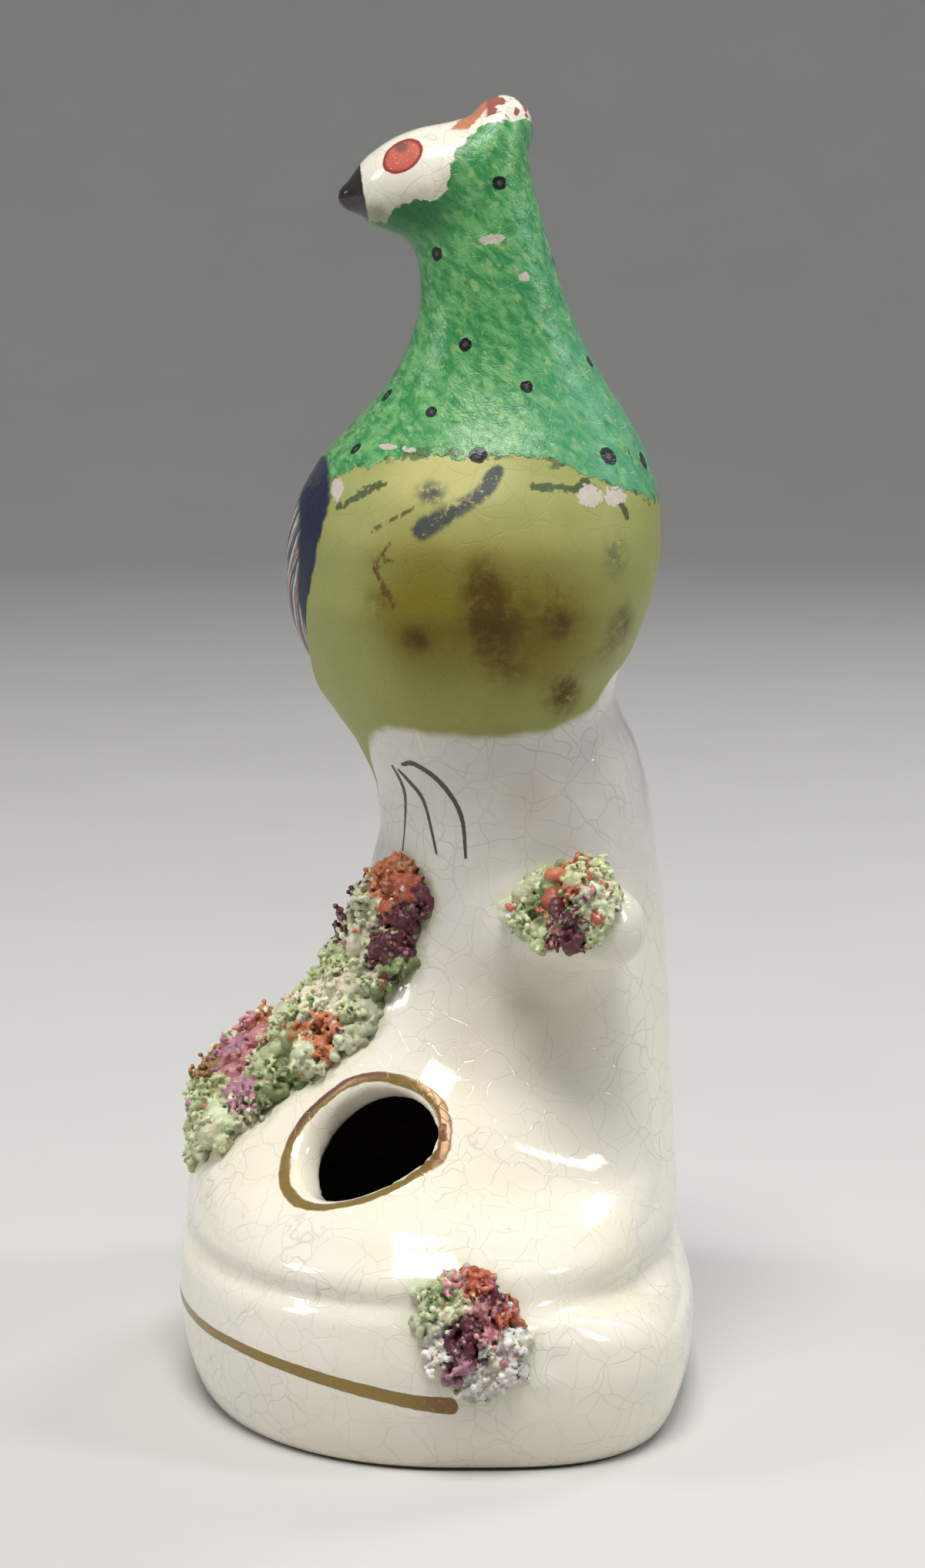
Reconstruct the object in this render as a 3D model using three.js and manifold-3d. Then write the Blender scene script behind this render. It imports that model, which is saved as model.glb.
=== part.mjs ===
// Flatback bird figure: a press-moulded, hollow earthenware bird with its head turned to the front,
// on a tree trunk that rises from a rocky mound over an oval plinth. A round pen hole opens into the
// hollow, and clusters of shredded clay moss are stuck on the mound, the branch stub and the plinth.
// Millimetres, +Z up. The decorated front faces -Y, the flat back +Y, and the breast +X.

import * as THREE from "three";
import { LoftGeometry } from "three/addons/geometries/LoftGeometry.js";
import { mergeVertices } from "three/addons/utils/BufferGeometryUtils.js";
import Module from "manifold-3d";

const wasm = await Module();
wasm.setup();

// Driving dimensions
const PLINTH_HALF_LENGTH = 47; // along X, at the bulge of the plinth's side
const PLINTH_FRONT_Y = -32.2; // its front
const PLINTH_BACK_Y = 30.9; // its flat back
const PLINTH_MIDDLE_Y = 2.4; // where its two ends reach farthest
const GROOVE_Z = 20; // height of the groove over the plinth, at the front
const GROOVE_FALL = 0.0045; // how fast the groove sinks towards the back, per square millimetre
const WALL = 4.2; // clay wall of the hollow figure
const FLOOR = 5; // clay floor of the hollow figure
const HOLLOW_TOP = 110; // the bird is solid above this
const PEN_HOLE_RADIUS = 7.7;
const PEN_HOLE_REACH = { outside: 12, inside: 13 }; // how far the bore is cut each way from its centre
const PEN_HOLE_CENTRE = [25.5, -8.1, 33.1]; // on the mound's front shoulder
const PEN_HOLE_AXIS = [0.478, -0.722, 0.5]; // the way out of the hole
const MOSS_GAP = 0.3; // moss stands this far off the glaze

// Trunk, bird and neck as one column. Each station is z, left, right, front, back: left and right
// are the X of the section's ends, front and back the Y of its front and back.
const COLUMN = [
  [0, -27, 26, -17, 29],
  [20, -26.5, 24.5, -16, 29],
  [28, -25, 21.5, -13.5, 29],
  [36, -23.5, 19.6, -11.4, 28.8],
  [46, -22, 18.4, -9.2, 28.7],
  [56, -21, 17.7, -8, 28.2],
  [64, -20.8, 17.4, -7, 27.2],
  [72, -21.8, 17.2, -7.4, 26.2],
  [78, -23.2, 17.6, -9.8, 24.6],
  [82, -24.6, 18.8, -12.5, 22.7],
  [86, -26, 21.6, -15, 21.9],
  [91, -27.4, 25.6, -16, 24],
  [97, -27.8, 28.6, -16.9, 26],
  [103, -26, 28.8, -17, 27],
  [108, -22, 27, -16.5, 26.9],
  [113, -16.6, 24, -14.3, 25.6],
  [118, -11.2, 20.8, -9.7, 23.2],
  [123, -7, 18.4, -5.5, 20],
  [128, -4, 17, -3, 17.2],
  [133, -2, 16.4, -1.9, 15.2],
  [138, -0.6, 16, -2.2, 13.6],
  [143, 0.3, 15.6, -2.6, 12.2],
  [149, 1.4, 14.6, 1.6, 10.4],
  [154, 3.6, 12.4, 5, 10.2],
];
const COLUMN_TOP = 155.3;
const COLUMN_ROUNDNESS = [2.15, 2.9]; // power of the sections' front and back halves, 2 is an ellipse

// Rocky mound round the trunk's foot, by the same stations
const MOUND = [
  [0, -40, 40, -27, 25],
  [14, -42, 42, -28.5, 26],
  [20, -44.8, 45, -31, 27],
  [22, -44, 44.4, -30.9, 27],
  [24, -41.5, 42, -30.7, 26.8],
  [26, -38.5, 38, -30.4, 26.5],
  [28.5, -35, 31, -29.8, 26],
  [31.5, -31.5, 27, -28.6, 25.5],
  [35, -28, 24, -26, 25],
  [39, -24.5, 20, -22, 24],
  [44, -21, 17, -16.5, 23],
  [50, -17, 14, -11, 22],
  [58, -12, 8, -6, 20],
];
const MOUND_TOP = 62;
const MOUND_ROUNDNESS = [2, 2.6];

// Plinth side: how far it stands in from its bulge, by height in a plinth GROOVE_Z tall
const PLINTH_PROFILE = [
  [0, -3],
  [1.5, -2.1],
  [4, -1.2],
  [8, -0.4],
  [12.5, 0],
  [16, -0.25],
  [18.5, -1.1],
  [20, -1.8],
  [23, -1.9],
];
const PLINTH_ROUNDNESS = [2.15, 3.3];
const PLINTH_REACH = [
  PLINTH_HALF_LENGTH,
  PLINTH_HALF_LENGTH,
  PLINTH_MIDDLE_Y - PLINTH_FRONT_Y,
  PLINTH_BACK_Y - PLINTH_MIDDLE_Y,
];

// Lumps of the mound: a buttress that carries the pen hole, and the front shoulder
const BUTTRESS = { from: [9, 0, 33], to: [27, -2, 18.5], radii: [14.5, 13.6] };
const SHOULDER = { centre: [6, -13, 20], radii: [23, 14.5, 13.5] };

// How wide the soft joint is where each form meets the rest
const BLEND = {
  mound: 3,
  shoulder: 6,
  buttress: 6,
  head: 4,
  beak: 1.5,
  crest: 1,
  wing: 0.8,
  tail: 4,
  birdAndBase: 7,
  stub: 2,
};
const EDGE_ROUNDING = { column: 3, plinth: 3.2, hollow: 8 };

// Parts of the bird
const HEAD = { centre: [8, -0.3, 146.4], radii: [7.4, 9.9, 6.3], nod: 14 };
const BEAK = { from: [8, -7, 145.3], to: [8, -10, 144.4], radii: [3.3, 1.7] };
const CREST = { centre: [8, 7.9, 152.4], radii: [4.6, 3.5, 3.9] };
const WING = { centre: [-5, -9.4, 98.5], radii: [25, 9.3, 12], dip: 28 };
const TAIL = { from: [-20.5, 2, 90], to: [-20.5, 5, 44], radii: [9, 4] };

// Branch stub: its line, and radius by distance along it. It is a little flatter than round.
const STUB_FROM = [9, 9.8, 56.6];
const STUB_TO = [30.6, 22.2, 60.6];
const STUB_RADII = [
  [0, 9.5],
  [6, 8],
  [10, 6.5],
  [14, 5.8],
  [18.5, 5.6],
  [21.5, 5.2],
  [23.6, 4.2],
  [25, 2.2],
];
const STUB_LENGTH = STUB_RADII.at(-1)[0];
const STUB_FLATNESS = 0.92;

// Centre line of the whole figure, from which each section reaches out: z, x, y
const CENTRE_LINE = [
  [0, 0, 0],
  [24, 0, 0],
  [34, 0, 3],
  [50, 0, 9],
  [80, 0, 8],
  [100, 0, 5],
  [118, 3, 7],
  [132, 7, 7],
  [144, 8, 5],
  [152, 8, 7],
  [157, 8, 7.3],
];

// Heights of the sections as from, to and count, closer where the form turns quickly
const OUTER_SECTIONS = [
  [0, 3, 2],
  [3, 16, 3],
  [16, 31, 10],
  [31, 51, 8],
  [51, 75, 6],
  [75, 93, 7],
  [93, 121, 8],
  [121, 139, 5],
  [139, 154, 9],
  [154, 156.2, 4],
];
const INNER_SECTIONS = [
  [FLOOR, 17, 3],
  [17, 33, 6],
  [33, 75, 7],
  [75, 104, 6],
  [104, 109.5, 3],
];
const OUTER_SIDES = 48;
const INNER_SIDES = 28;
const STUB_SIDES = 18;
const PEN_HOLE_SIDES = 32;

// Moss clusters. Each lies along points on the surface, given as x, y, z, half width and thickness.
const MOSS_FRONT = [
  [7, -6.5, 63.6, 4, 1.6],
  [9, -7.5, 60.6, 7, 4.4],
  [9, -9.5, 53, 8.5, 4],
  [7.5, -14.5, 46, 9.5, 4.4],
  [6, -21.5, 40, 10.5, 4.8],
  [4, -27.5, 35.8, 10.5, 5.2],
  [2, -30.5, 31.8, 8, 2.4],
  [1, -31.2, 29.6, 5, 1.2],
];
const MOSS_BRANCH = [
  [17, 7.5, 60, 3.5, 1.4],
  [19.5, 9.5, 60.8, 6, 3],
  [23, 12.5, 61.6, 7, 3.6],
  [26.5, 15.2, 62.2, 7, 3.6],
  [29.5, 18, 62.2, 5.6, 3],
  [31, 20.3, 61.8, 3, 1.4],
];
const MOSS_PLINTH = [
  [43.5, 1.5, 24, 3.2, 1.4],
  [45.2, 3, 21, 5.6, 3],
  [46.6, 4.6, 16.5, 6.2, 3.4],
  [46.9, 6.6, 12.5, 5, 2.8],
  [46.7, 8, 9.8, 3, 1.2],
];
const MOSS_ROOT = 1.6; // how far a cluster reaches into the clay before it is cut to fit
const MOSS_TOP_POINTS = 11;
const MOSS_RINGS_PER_STEP = 2;

const Z_AXIS = new THREE.Vector3(0, 0, 1);
const vector = (p) => new THREE.Vector3(p[0], p[1], p[2]);

// Monotone cubic curve through one column of a table whose first column rises
function curveOf(table, column) {
  const z = table.map((row) => row[0]);
  const v = table.map((row) => row[column]);
  const last = z.length - 1;
  const rise = (i) => (v[i + 1] - v[i]) / (z[i + 1] - z[i]);
  const slopes = z.map((_, i) => {
    if (i === 0) return rise(0);
    if (i === last) return rise(last - 1);
    const below = rise(i - 1);
    const above = rise(i);
    return below * above <= 0 ? 0 : (2 * below * above) / (below + above);
  });
  return (height) => {
    if (height <= z[0]) return v[0];
    if (height >= z[last]) return v[last];
    let i = 0;
    while (height > z[i + 1]) i += 1;
    const span = z[i + 1] - z[i];
    const t = (height - z[i]) / span;
    const flat = t * t * (3 - 2 * t);
    const bend = t * (t - 1);
    return (
      v[i] * (1 - flat) + v[i + 1] * flat + bend * span * ((t - 1) * slopes[i] + t * slopes[i + 1])
    );
  };
}

// Smooth union of two distances, and its opposite, which cuts one solid by another
function join(a, b, width) {
  const h = Math.max(width - Math.abs(a - b), 0) / width;
  return Math.min(a, b) - (h * h * width) / 4;
}
const trim = (a, b, width) => -join(-a, -b, width);

// Distance from the side of a section with its own reach to the left, right, front and back
function sideDistance(dx, dy, reach, roundness) {
  const rx = dx < 0 ? reach[0] : reach[1];
  const ry = dy < 0 ? reach[2] : reach[3];
  const power = dy < 0 ? roundness[0] : roundness[1];
  const g = (Math.abs(dx / rx) ** power + Math.abs(dy / ry) ** power) ** (1 / power);
  return g < 1e-6 ? -Math.min(rx, ry) : Math.hypot(dx, dy) * (1 - 1 / g);
}

// The fields below give the distance from a surface, which is less than nothing inside.
function columnField(stations, roundness, top) {
  const [left, right, front, back] = [1, 2, 3, 4].map((c) => curveOf(stations, c));
  const side = (x, y, z) => {
    const cx = (left(z) + right(z)) / 2;
    const cy = (front(z) + back(z)) / 2;
    const reach = [cx - left(z), right(z) - cx, cy - front(z), back(z) - cy];
    return sideDistance(x - cx, y - cy, reach, roundness);
  };
  return (x, y, z) => {
    const slope = side(x, y, z + 0.5) - side(x, y, z - 0.5);
    return trim(side(x, y, z) / Math.hypot(1, slope), z - top, EDGE_ROUNDING.column);
  };
}

function ellipsoidField({ centre, radii, nod = 0, dip = 0 }) {
  const turn = new THREE.Euler(THREE.MathUtils.degToRad(nod), -THREE.MathUtils.degToRad(dip), 0);
  const intoIt = new THREE.Matrix4()
    .makeRotationFromEuler(turn)
    .setPosition(...centre)
    .invert();
  const p = new THREE.Vector3();
  return (x, y, z) => {
    p.set(x, y, z).applyMatrix4(intoIt);
    const near = Math.hypot(p.x / radii[0], p.y / radii[1], p.z / radii[2]);
    const steep = Math.hypot(p.x / radii[0] ** 2, p.y / radii[1] ** 2, p.z / radii[2] ** 2);
    return steep < 1e-9 ? -Math.min(...radii) : (near * (near - 1)) / steep;
  };
}

function limbField({ from, to, radii }) {
  const start = vector(from);
  const along = vector(to).sub(start);
  const p = new THREE.Vector3();
  return (x, y, z) => {
    p.set(x, y, z).sub(start);
    const t = THREE.MathUtils.clamp(p.dot(along) / along.lengthSq(), 0, 1);
    return p.addScaledVector(along, -t).length() - radii[0] - (radii[1] - radii[0]) * t;
  };
}

const plinthInset = curveOf(PLINTH_PROFILE, 1);

function plinthField(x, y, z) {
  const grooveHere = GROOVE_Z - GROOVE_FALL * Math.max(0, y + 5) ** 2;
  const level = (z * GROOVE_Z) / grooveHere;
  const side = sideDistance(x, y - PLINTH_MIDDLE_Y, PLINTH_REACH, PLINTH_ROUNDNESS);
  return trim(side - plinthInset(level), level - GROOVE_Z, EDGE_ROUNDING.plinth);
}

const trunkAndBird = columnField(COLUMN, COLUMN_ROUNDNESS, COLUMN_TOP);
const mound = columnField(MOUND, MOUND_ROUNDNESS, MOUND_TOP);
const buttress = limbField(BUTTRESS);
const shoulder = ellipsoidField(SHOULDER);
const head = ellipsoidField(HEAD);
const beak = limbField(BEAK);
const crest = ellipsoidField(CREST);
const wing = ellipsoidField(WING);
const tail = limbField(TAIL);

function figureField(x, y, z) {
  let base = plinthField(x, y, z);
  base = join(base, mound(x, y, z), BLEND.mound);
  base = join(base, shoulder(x, y, z), BLEND.shoulder);
  base = join(base, buttress(x, y, z), BLEND.buttress);
  let bird = trunkAndBird(x, y, z);
  bird = join(bird, head(x, y, z), BLEND.head);
  bird = join(bird, beak(x, y, z), BLEND.beak);
  bird = join(bird, crest(x, y, z), BLEND.crest);
  bird = join(bird, wing(x, y, z), BLEND.wing);
  bird = join(bird, tail(x, y, z), BLEND.tail);
  return join(base, bird, BLEND.birdAndBase);
}

// Outermost point of a surface from the centre line, at a height and in a direction
const lineX = curveOf(CENTRE_LINE, 1);
const lineY = curveOf(CENTRE_LINE, 2);
const FARTHEST = 60;

function surfacePoint(field, z, angle) {
  const at = (r) => [lineX(z) + r * Math.cos(angle), lineY(z) + r * Math.sin(angle), z];
  let r = FARTHEST;
  while (r > 0.5 && field(...at(r)) > 0) r -= 0.5;
  let step = 0.25;
  for (let i = 0; i < 14; i += 1) {
    r += field(...at(r)) < 0 ? step : -step;
    step /= 2;
  }
  return vector(at(r));
}

function heightsOf(spans) {
  const heights = [spans[0][0]];
  for (const [from, to, count] of spans)
    for (let i = 1; i <= count; i += 1) heights.push(from + ((to - from) * i) / count);
  return heights;
}

function loftUp(field, heights, sides) {
  const sections = heights.map((z) =>
    Array.from({ length: sides }, (_, i) => surfacePoint(field, z, (i / sides) * 2 * Math.PI)),
  );
  return new LoftGeometry(sections, { capStart: true, capEnd: true });
}

// Closed geometry as a manifold solid, turned right side out, and a solid back as geometry
function solidOf(geometry) {
  const bare = new THREE.BufferGeometry();
  bare.setAttribute("position", geometry.getAttribute("position"));
  bare.setIndex(geometry.index);
  const merged = mergeVertices(bare, 1e-4);
  const triVerts = new Uint32Array(merged.index.array);
  const vertProperties = new Float32Array(merged.attributes.position.array);
  const build = () => new wasm.Manifold(new wasm.Mesh({ numProp: 3, vertProperties, triVerts }));
  const solid = build();
  if (solid.volume() > 0) return solid;
  for (let i = 0; i < triVerts.length; i += 3)
    [triVerts[i + 1], triVerts[i + 2]] = [triVerts[i + 2], triVerts[i + 1]];
  return build();
}

function geometryOf(solid) {
  const mesh = solid.getMesh();
  const geometry = new THREE.BufferGeometry();
  geometry.setAttribute("position", new THREE.BufferAttribute(mesh.vertProperties, 3));
  geometry.setIndex(new THREE.BufferAttribute(mesh.triVerts, 1));
  geometry.computeVertexNormals();
  return geometry;
}

// The branch stub as rings along its line, grown by the given amount
function stubSolid(growth) {
  const from = vector(STUB_FROM);
  const along = vector(STUB_TO).sub(from).normalize();
  const across = new THREE.Vector3().crossVectors(Z_AXIS, along).normalize();
  const up = new THREE.Vector3().crossVectors(along, across);
  const sections = STUB_RADII.map(([distance, radius]) =>
    Array.from({ length: STUB_SIDES }, (_, i) => {
      const angle = (i / STUB_SIDES) * 2 * Math.PI;
      const reach = radius + growth;
      return from
        .clone()
        .addScaledVector(along, distance * (1 + growth / STUB_LENGTH))
        .addScaledVector(across, reach * Math.cos(angle))
        .addScaledVector(up, reach * STUB_FLATNESS * Math.sin(angle));
    }),
  );
  return solidOf(new LoftGeometry(sections, { capStart: true, capEnd: true }));
}

const stubRadius = curveOf(STUB_RADII, 1);

function stubField(x, y, z) {
  const p = new THREE.Vector3(x, y, z).sub(vector(STUB_FROM));
  const along = vector(STUB_TO).sub(vector(STUB_FROM)).normalize();
  const distance = Math.max(0, p.dot(along));
  return p.addScaledVector(along, -distance).length() - stubRadius(distance);
}

function penHoleSolid() {
  const { outside, inside } = PEN_HOLE_REACH;
  const length = outside + inside;
  const bore = new THREE.CylinderGeometry(PEN_HOLE_RADIUS, PEN_HOLE_RADIUS, length, PEN_HOLE_SIDES);
  bore.translate(0, (outside - inside) / 2, 0);
  const turn = new THREE.Quaternion().setFromUnitVectors(
    new THREE.Vector3(0, 1, 0),
    vector(PEN_HOLE_AXIS).normalize(),
  );
  bore.applyQuaternion(turn);
  bore.translate(...PEN_HOLE_CENTRE);
  return solidOf(bore);
}

function figureSolid() {
  const outer = solidOf(loftUp(figureField, heightsOf(OUTER_SECTIONS), OUTER_SIDES));
  const wallField = (x, y, z) => trim(figureField(x, y, z) + WALL, z - HOLLOW_TOP, EDGE_ROUNDING.hollow);
  const hollow = solidOf(loftUp(wallField, heightsOf(INNER_SECTIONS), INNER_SIDES));
  return outer.add(stubSolid(0)).subtract(hollow).subtract(penHoleSolid());
}

// What moss has to keep clear of: the same figure, grown by the gap
function clearanceSolid() {
  const grown = (x, y, z) => figureField(x, y, z) - MOSS_GAP;
  return solidOf(loftUp(grown, heightsOf(OUTER_SECTIONS), OUTER_SIDES)).add(stubSolid(MOSS_GAP));
}

const glazeField = (x, y, z) => join(figureField(x, y, z), stubField(x, y, z), BLEND.stub);

function outward(field, p) {
  const e = 0.2;
  return new THREE.Vector3(
    field(p.x + e, p.y, p.z) - field(p.x - e, p.y, p.z),
    field(p.x, p.y + e, p.z) - field(p.x, p.y - e, p.z),
    field(p.x, p.y, p.z + e) - field(p.x, p.y, p.z - e),
  ).normalize();
}

function ontoSurface(field, p) {
  const q = p.clone();
  for (let i = 0; i < 6; i += 1) q.addScaledVector(outward(field, q), -field(q.x, q.y, q.z));
  return q;
}

// Uneven top of a cluster, as a share of its thickness
function lumpiness(p) {
  const coarse = Math.sin(0.9 * p.x + 0.7 * p.z) * Math.sin(0.8 * p.y - 0.9 * p.z + 1);
  const fine = Math.sin(1.9 * p.x - 1.3 * p.y) * Math.sin(1.7 * p.z + 1.1 * p.y);
  return 1 + 0.2 * coarse + 0.14 * fine;
}

// Nearly closed end of a cluster, with its points in the order of the other rings
function smallRing(middle, across, count) {
  const radius = 0.4;
  const up = outward(glazeField, middle);
  return Array.from({ length: count }, (_, i) => {
    const angle = Math.PI - (i / count) * 2 * Math.PI;
    return middle
      .clone()
      .addScaledVector(across, radius * Math.cos(angle))
      .addScaledVector(up, radius * Math.sin(angle));
  });
}

// Closed cluster over the surface: rings across its line, with the root inside the clay
function mossSolid(stations, clearance) {
  const line = new THREE.CatmullRomCurve3(stations.map(vector));
  const steps = stations.map((s, i) => [i, s[3], s[4]]);
  const widthAt = curveOf(steps, 1);
  const thicknessAt = curveOf(steps, 2);
  const rings = (stations.length - 1) * MOSS_RINGS_PER_STEP;
  const sections = [];
  for (let k = 0; k <= rings; k += 1) {
    const t = k / rings;
    const step = t * (stations.length - 1);
    const middle = ontoSurface(glazeField, line.getPoint(t));
    const across = new THREE.Vector3()
      .crossVectors(line.getTangent(t), outward(glazeField, middle))
      .normalize();
    const ragged = 1 + 0.12 * Math.sin(2.6 * k) + 0.08 * Math.sin(4.4 * k + 1);
    const ringPoint = (side, height) => {
      const reach = side * widthAt(step) * ragged;
      const q = ontoSurface(glazeField, middle.clone().addScaledVector(across, reach));
      return q.addScaledVector(outward(glazeField, q), height);
    };
    const sides = Array.from(
      { length: MOSS_TOP_POINTS },
      (_, i) => (2 * i) / (MOSS_TOP_POINTS - 1) - 1,
    );
    const top = sides.map((side) => {
      const crown = 0.25 + 0.75 * Math.sqrt(1 - side * side);
      const p = ringPoint(side, 0);
      return ringPoint(side, thicknessAt(step) * crown * lumpiness(p));
    });
    const root = [0.8, 0, -0.8].map((side) => ringPoint(side, -MOSS_ROOT));
    const ring = [...top, ...root];
    const isEnd = k === 0 || k === rings;
    sections.push(isEnd ? smallRing(middle, across, ring.length) : ring);
  }
  const cluster = solidOf(new LoftGeometry(sections, { capStart: true, capEnd: true }));
  const pieces = cluster.subtract(clearance).decompose();
  return pieces.reduce((a, b) => (a.volume() > b.volume() ? a : b));
}

const figure = new THREE.Group();
figure.name = "flatback_bird_figure";

function addNode(name, solid, look) {
  const mesh = new THREE.Mesh(geometryOf(solid), new THREE.MeshStandardMaterial(look));
  mesh.name = name;
  figure.add(mesh);
}

addNode("bird_figure", figureSolid(), { color: 0xe9e3d6, roughness: 0.15, metalness: 0 });

const clearance = clearanceSolid();
const mossLook = { color: 0x8d9a5c, roughness: 0.55, metalness: 0 };
addNode("moss_front_slope", mossSolid(MOSS_FRONT, clearance), mossLook);
addNode("moss_branch", mossSolid(MOSS_BRANCH, clearance), mossLook);
addNode("moss_plinth_end", mossSolid(MOSS_PLINTH, clearance), mossLook);

export default figure;
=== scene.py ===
"""Flatback bird figure: the dressed part, in the frame of the solids.

The figure is one smooth surface found from the same stations and lumps as the solids. Lengths are
millimetres until a mesh is made, when they become metres. The decorated front faces -Y and the breast +X.
"""

import math

import bpy
import numpy as np
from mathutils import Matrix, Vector
from mathutils.kdtree import KDTree


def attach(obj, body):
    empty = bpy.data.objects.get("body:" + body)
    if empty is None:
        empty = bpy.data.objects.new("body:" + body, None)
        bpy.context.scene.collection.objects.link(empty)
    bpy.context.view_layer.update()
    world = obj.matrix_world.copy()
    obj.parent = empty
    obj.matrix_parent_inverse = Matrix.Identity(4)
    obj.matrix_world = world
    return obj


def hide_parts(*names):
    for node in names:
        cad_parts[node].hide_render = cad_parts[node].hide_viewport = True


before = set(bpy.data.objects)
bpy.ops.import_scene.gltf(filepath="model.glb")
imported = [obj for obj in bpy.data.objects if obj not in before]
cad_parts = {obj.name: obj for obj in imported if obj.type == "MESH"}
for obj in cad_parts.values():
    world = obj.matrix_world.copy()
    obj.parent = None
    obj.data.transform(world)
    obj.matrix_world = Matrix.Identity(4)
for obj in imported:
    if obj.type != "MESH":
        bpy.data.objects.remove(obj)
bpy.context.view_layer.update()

MM = 0.001

# Driving dimensions
PLINTH_HALF_LENGTH = 47.0
PLINTH_FRONT_Y = -32.2
PLINTH_BACK_Y = 30.9
PLINTH_MIDDLE_Y = 2.4
GROOVE_Z = 20.0
GROOVE_FALL = 0.0045
WALL = 4.2
FLOOR = 5.0
HOLLOW_TOP = 110.0
PEN_HOLE_RADIUS = 7.7
PEN_HOLE_CENTRE = (25.5, -8.1, 33.1)
PEN_HOLE_AXIS = (0.478, -0.722, 0.5)
RIM_ROUNDING = 1.8
SURFACE_STEP = 0.95

# Trunk, bird and neck: z, left, right, front, back
COLUMN = [
    (0, -27, 26, -17, 29), (20, -26.5, 24.5, -16, 29), (28, -25, 21.5, -13.5, 29),
    (36, -23.5, 19.6, -11.4, 28.8), (46, -22, 18.4, -9.2, 28.7), (56, -21, 17.7, -8, 28.2),
    (64, -20.8, 17.4, -7, 27.2), (72, -21.8, 17.2, -7.4, 26.2), (78, -23.2, 17.6, -9.8, 24.6),
    (82, -24.6, 18.8, -12.5, 22.7), (86, -26, 21.6, -15, 21.9), (91, -27.4, 25.6, -16, 24),
    (97, -27.8, 28.6, -16.9, 26), (103, -26, 28.8, -17, 27), (108, -22, 27, -16.5, 26.9),
    (113, -16.6, 24, -14.3, 25.6), (118, -11.2, 20.8, -9.7, 23.2), (123, -7, 18.4, -5.5, 20),
    (128, -4, 17, -3, 17.2), (133, -2, 16.4, -1.9, 15.2), (138, -0.6, 16, -2.2, 13.6),
    (143, 0.3, 15.6, -2.6, 12.2), (149, 1.4, 14.6, 1.6, 10.4), (154, 3.6, 12.4, 5, 10.2),
]
COLUMN_TOP = 155.3
COLUMN_ROUNDNESS = (2.15, 2.9)

# Rocky mound round the trunk's foot, by the same stations
MOUND = [
    (0, -40, 40, -27, 25), (14, -42, 42, -28.5, 26), (20, -44.8, 45, -31, 27),
    (22, -44, 44.4, -30.9, 27), (24, -41.5, 42, -30.7, 26.8), (26, -38.5, 38, -30.4, 26.5),
    (28.5, -35, 31, -29.8, 26), (31.5, -31.5, 27, -28.6, 25.5), (35, -28, 24, -26, 25),
    (39, -24.5, 20, -22, 24), (44, -21, 17, -16.5, 23), (50, -17, 14, -11, 22),
    (58, -12, 8, -6, 20),
]
MOUND_TOP = 62.0
MOUND_ROUNDNESS = (2, 2.6)

# How far the plinth's side stands in from its bulge, by height
PLINTH_PROFILE = [
    (0, -3), (1.5, -2.1), (4, -1.2), (8, -0.4), (12.5, 0), (16, -0.25), (18.5, -1.1),
    (20, -1.8), (23, -1.9),
]
PLINTH_ROUNDNESS = (2.15, 3.3)

BUTTRESS = ((9, 0, 33), (27, -2, 18.5), (14.5, 13.6))
SHOULDER = ((6, -13, 20), (23, 14.5, 13.5), 0, 0)
HEAD = ((8, -0.3, 146.4), (7.4, 9.9, 6.3), 14, 0)
BEAK = ((8, -7, 145.3), (8, -10, 144.4), (3.3, 1.7))
CREST = ((8, 7.9, 152.4), (4.6, 3.5, 3.9), 0, 0)
WING = ((-5, -9.4, 98.5), (25, 9.3, 12), 0, 28)
TAIL = ((-20.5, 2, 90), (-20.5, 5, 44), (9, 4))
STUB_FROM = (9, 9.8, 56.6)
STUB_TO = (30.6, 22.2, 60.6)
STUB_RADII = [(0, 9.5), (6, 8), (10, 6.5), (14, 5.8), (18.5, 5.6), (21.5, 5.2), (23.6, 4.2), (25, 2.2)]
STUB_FLATNESS = 0.92


def curve_of(table, column):
    """Monotone cubic curve through one column of a table whose first column rises."""
    z = np.array([row[0] for row in table], float)
    v = np.array([row[column] for row in table], float)
    rise = np.diff(v) / np.diff(z)
    below, above = rise[:-1], rise[1:]
    total = below + above
    middle = np.where(below * above > 0, 2 * below * above / np.where(total == 0, 1, total), 0)
    slopes = np.concatenate([rise[:1], middle, rise[-1:]])

    def value(height):
        h = np.clip(height, z[0], z[-1])
        i = np.clip(np.searchsorted(z, h, side="right") - 1, 0, len(z) - 2)
        span = z[i + 1] - z[i]
        t = (h - z[i]) / span
        flat = t * t * (3 - 2 * t)
        bend = t * (t - 1) * span
        return v[i] * (1 - flat) + v[i + 1] * flat + bend * ((t - 1) * slopes[i] + t * slopes[i + 1])

    return value


def join(a, b, width):
    """Smooth union of two distances."""
    h = np.maximum(width - np.abs(a - b), 0) / width
    return np.minimum(a, b) - h * h * width / 4


def trim(a, b, width):
    """Smooth overlap of two distances."""
    return -join(-a, -b, width)


def side_distance(dx, dy, reach, roundness):
    """Distance from the side of a section with its own reach to the left, right, front and back."""
    rx = np.where(dx < 0, reach[0], reach[1])
    ry = np.where(dy < 0, reach[2], reach[3])
    power = np.where(dy < 0, roundness[0], roundness[1])
    g = (np.abs(dx / rx) ** power + np.abs(dy / ry) ** power) ** (1 / power)
    g = np.maximum(g, 1e-4)
    return np.hypot(dx, dy) * (1 - 1 / g)


def column_field(stations, roundness, top):
    left, right, front, back = (curve_of(stations, c) for c in (1, 2, 3, 4))

    def side(x, y, z):
        cx = (left(z) + right(z)) / 2
        cy = (front(z) + back(z)) / 2
        reach = (cx - left(z), right(z) - cx, cy - front(z), back(z) - cy)
        return side_distance(x - cx, y - cy, reach, roundness)

    def field(x, y, z):
        slope = side(x, y, z + 0.5) - side(x, y, z - 0.5)
        return trim(side(x, y, z) / np.hypot(1, slope), z - top, 3)

    return field


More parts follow.
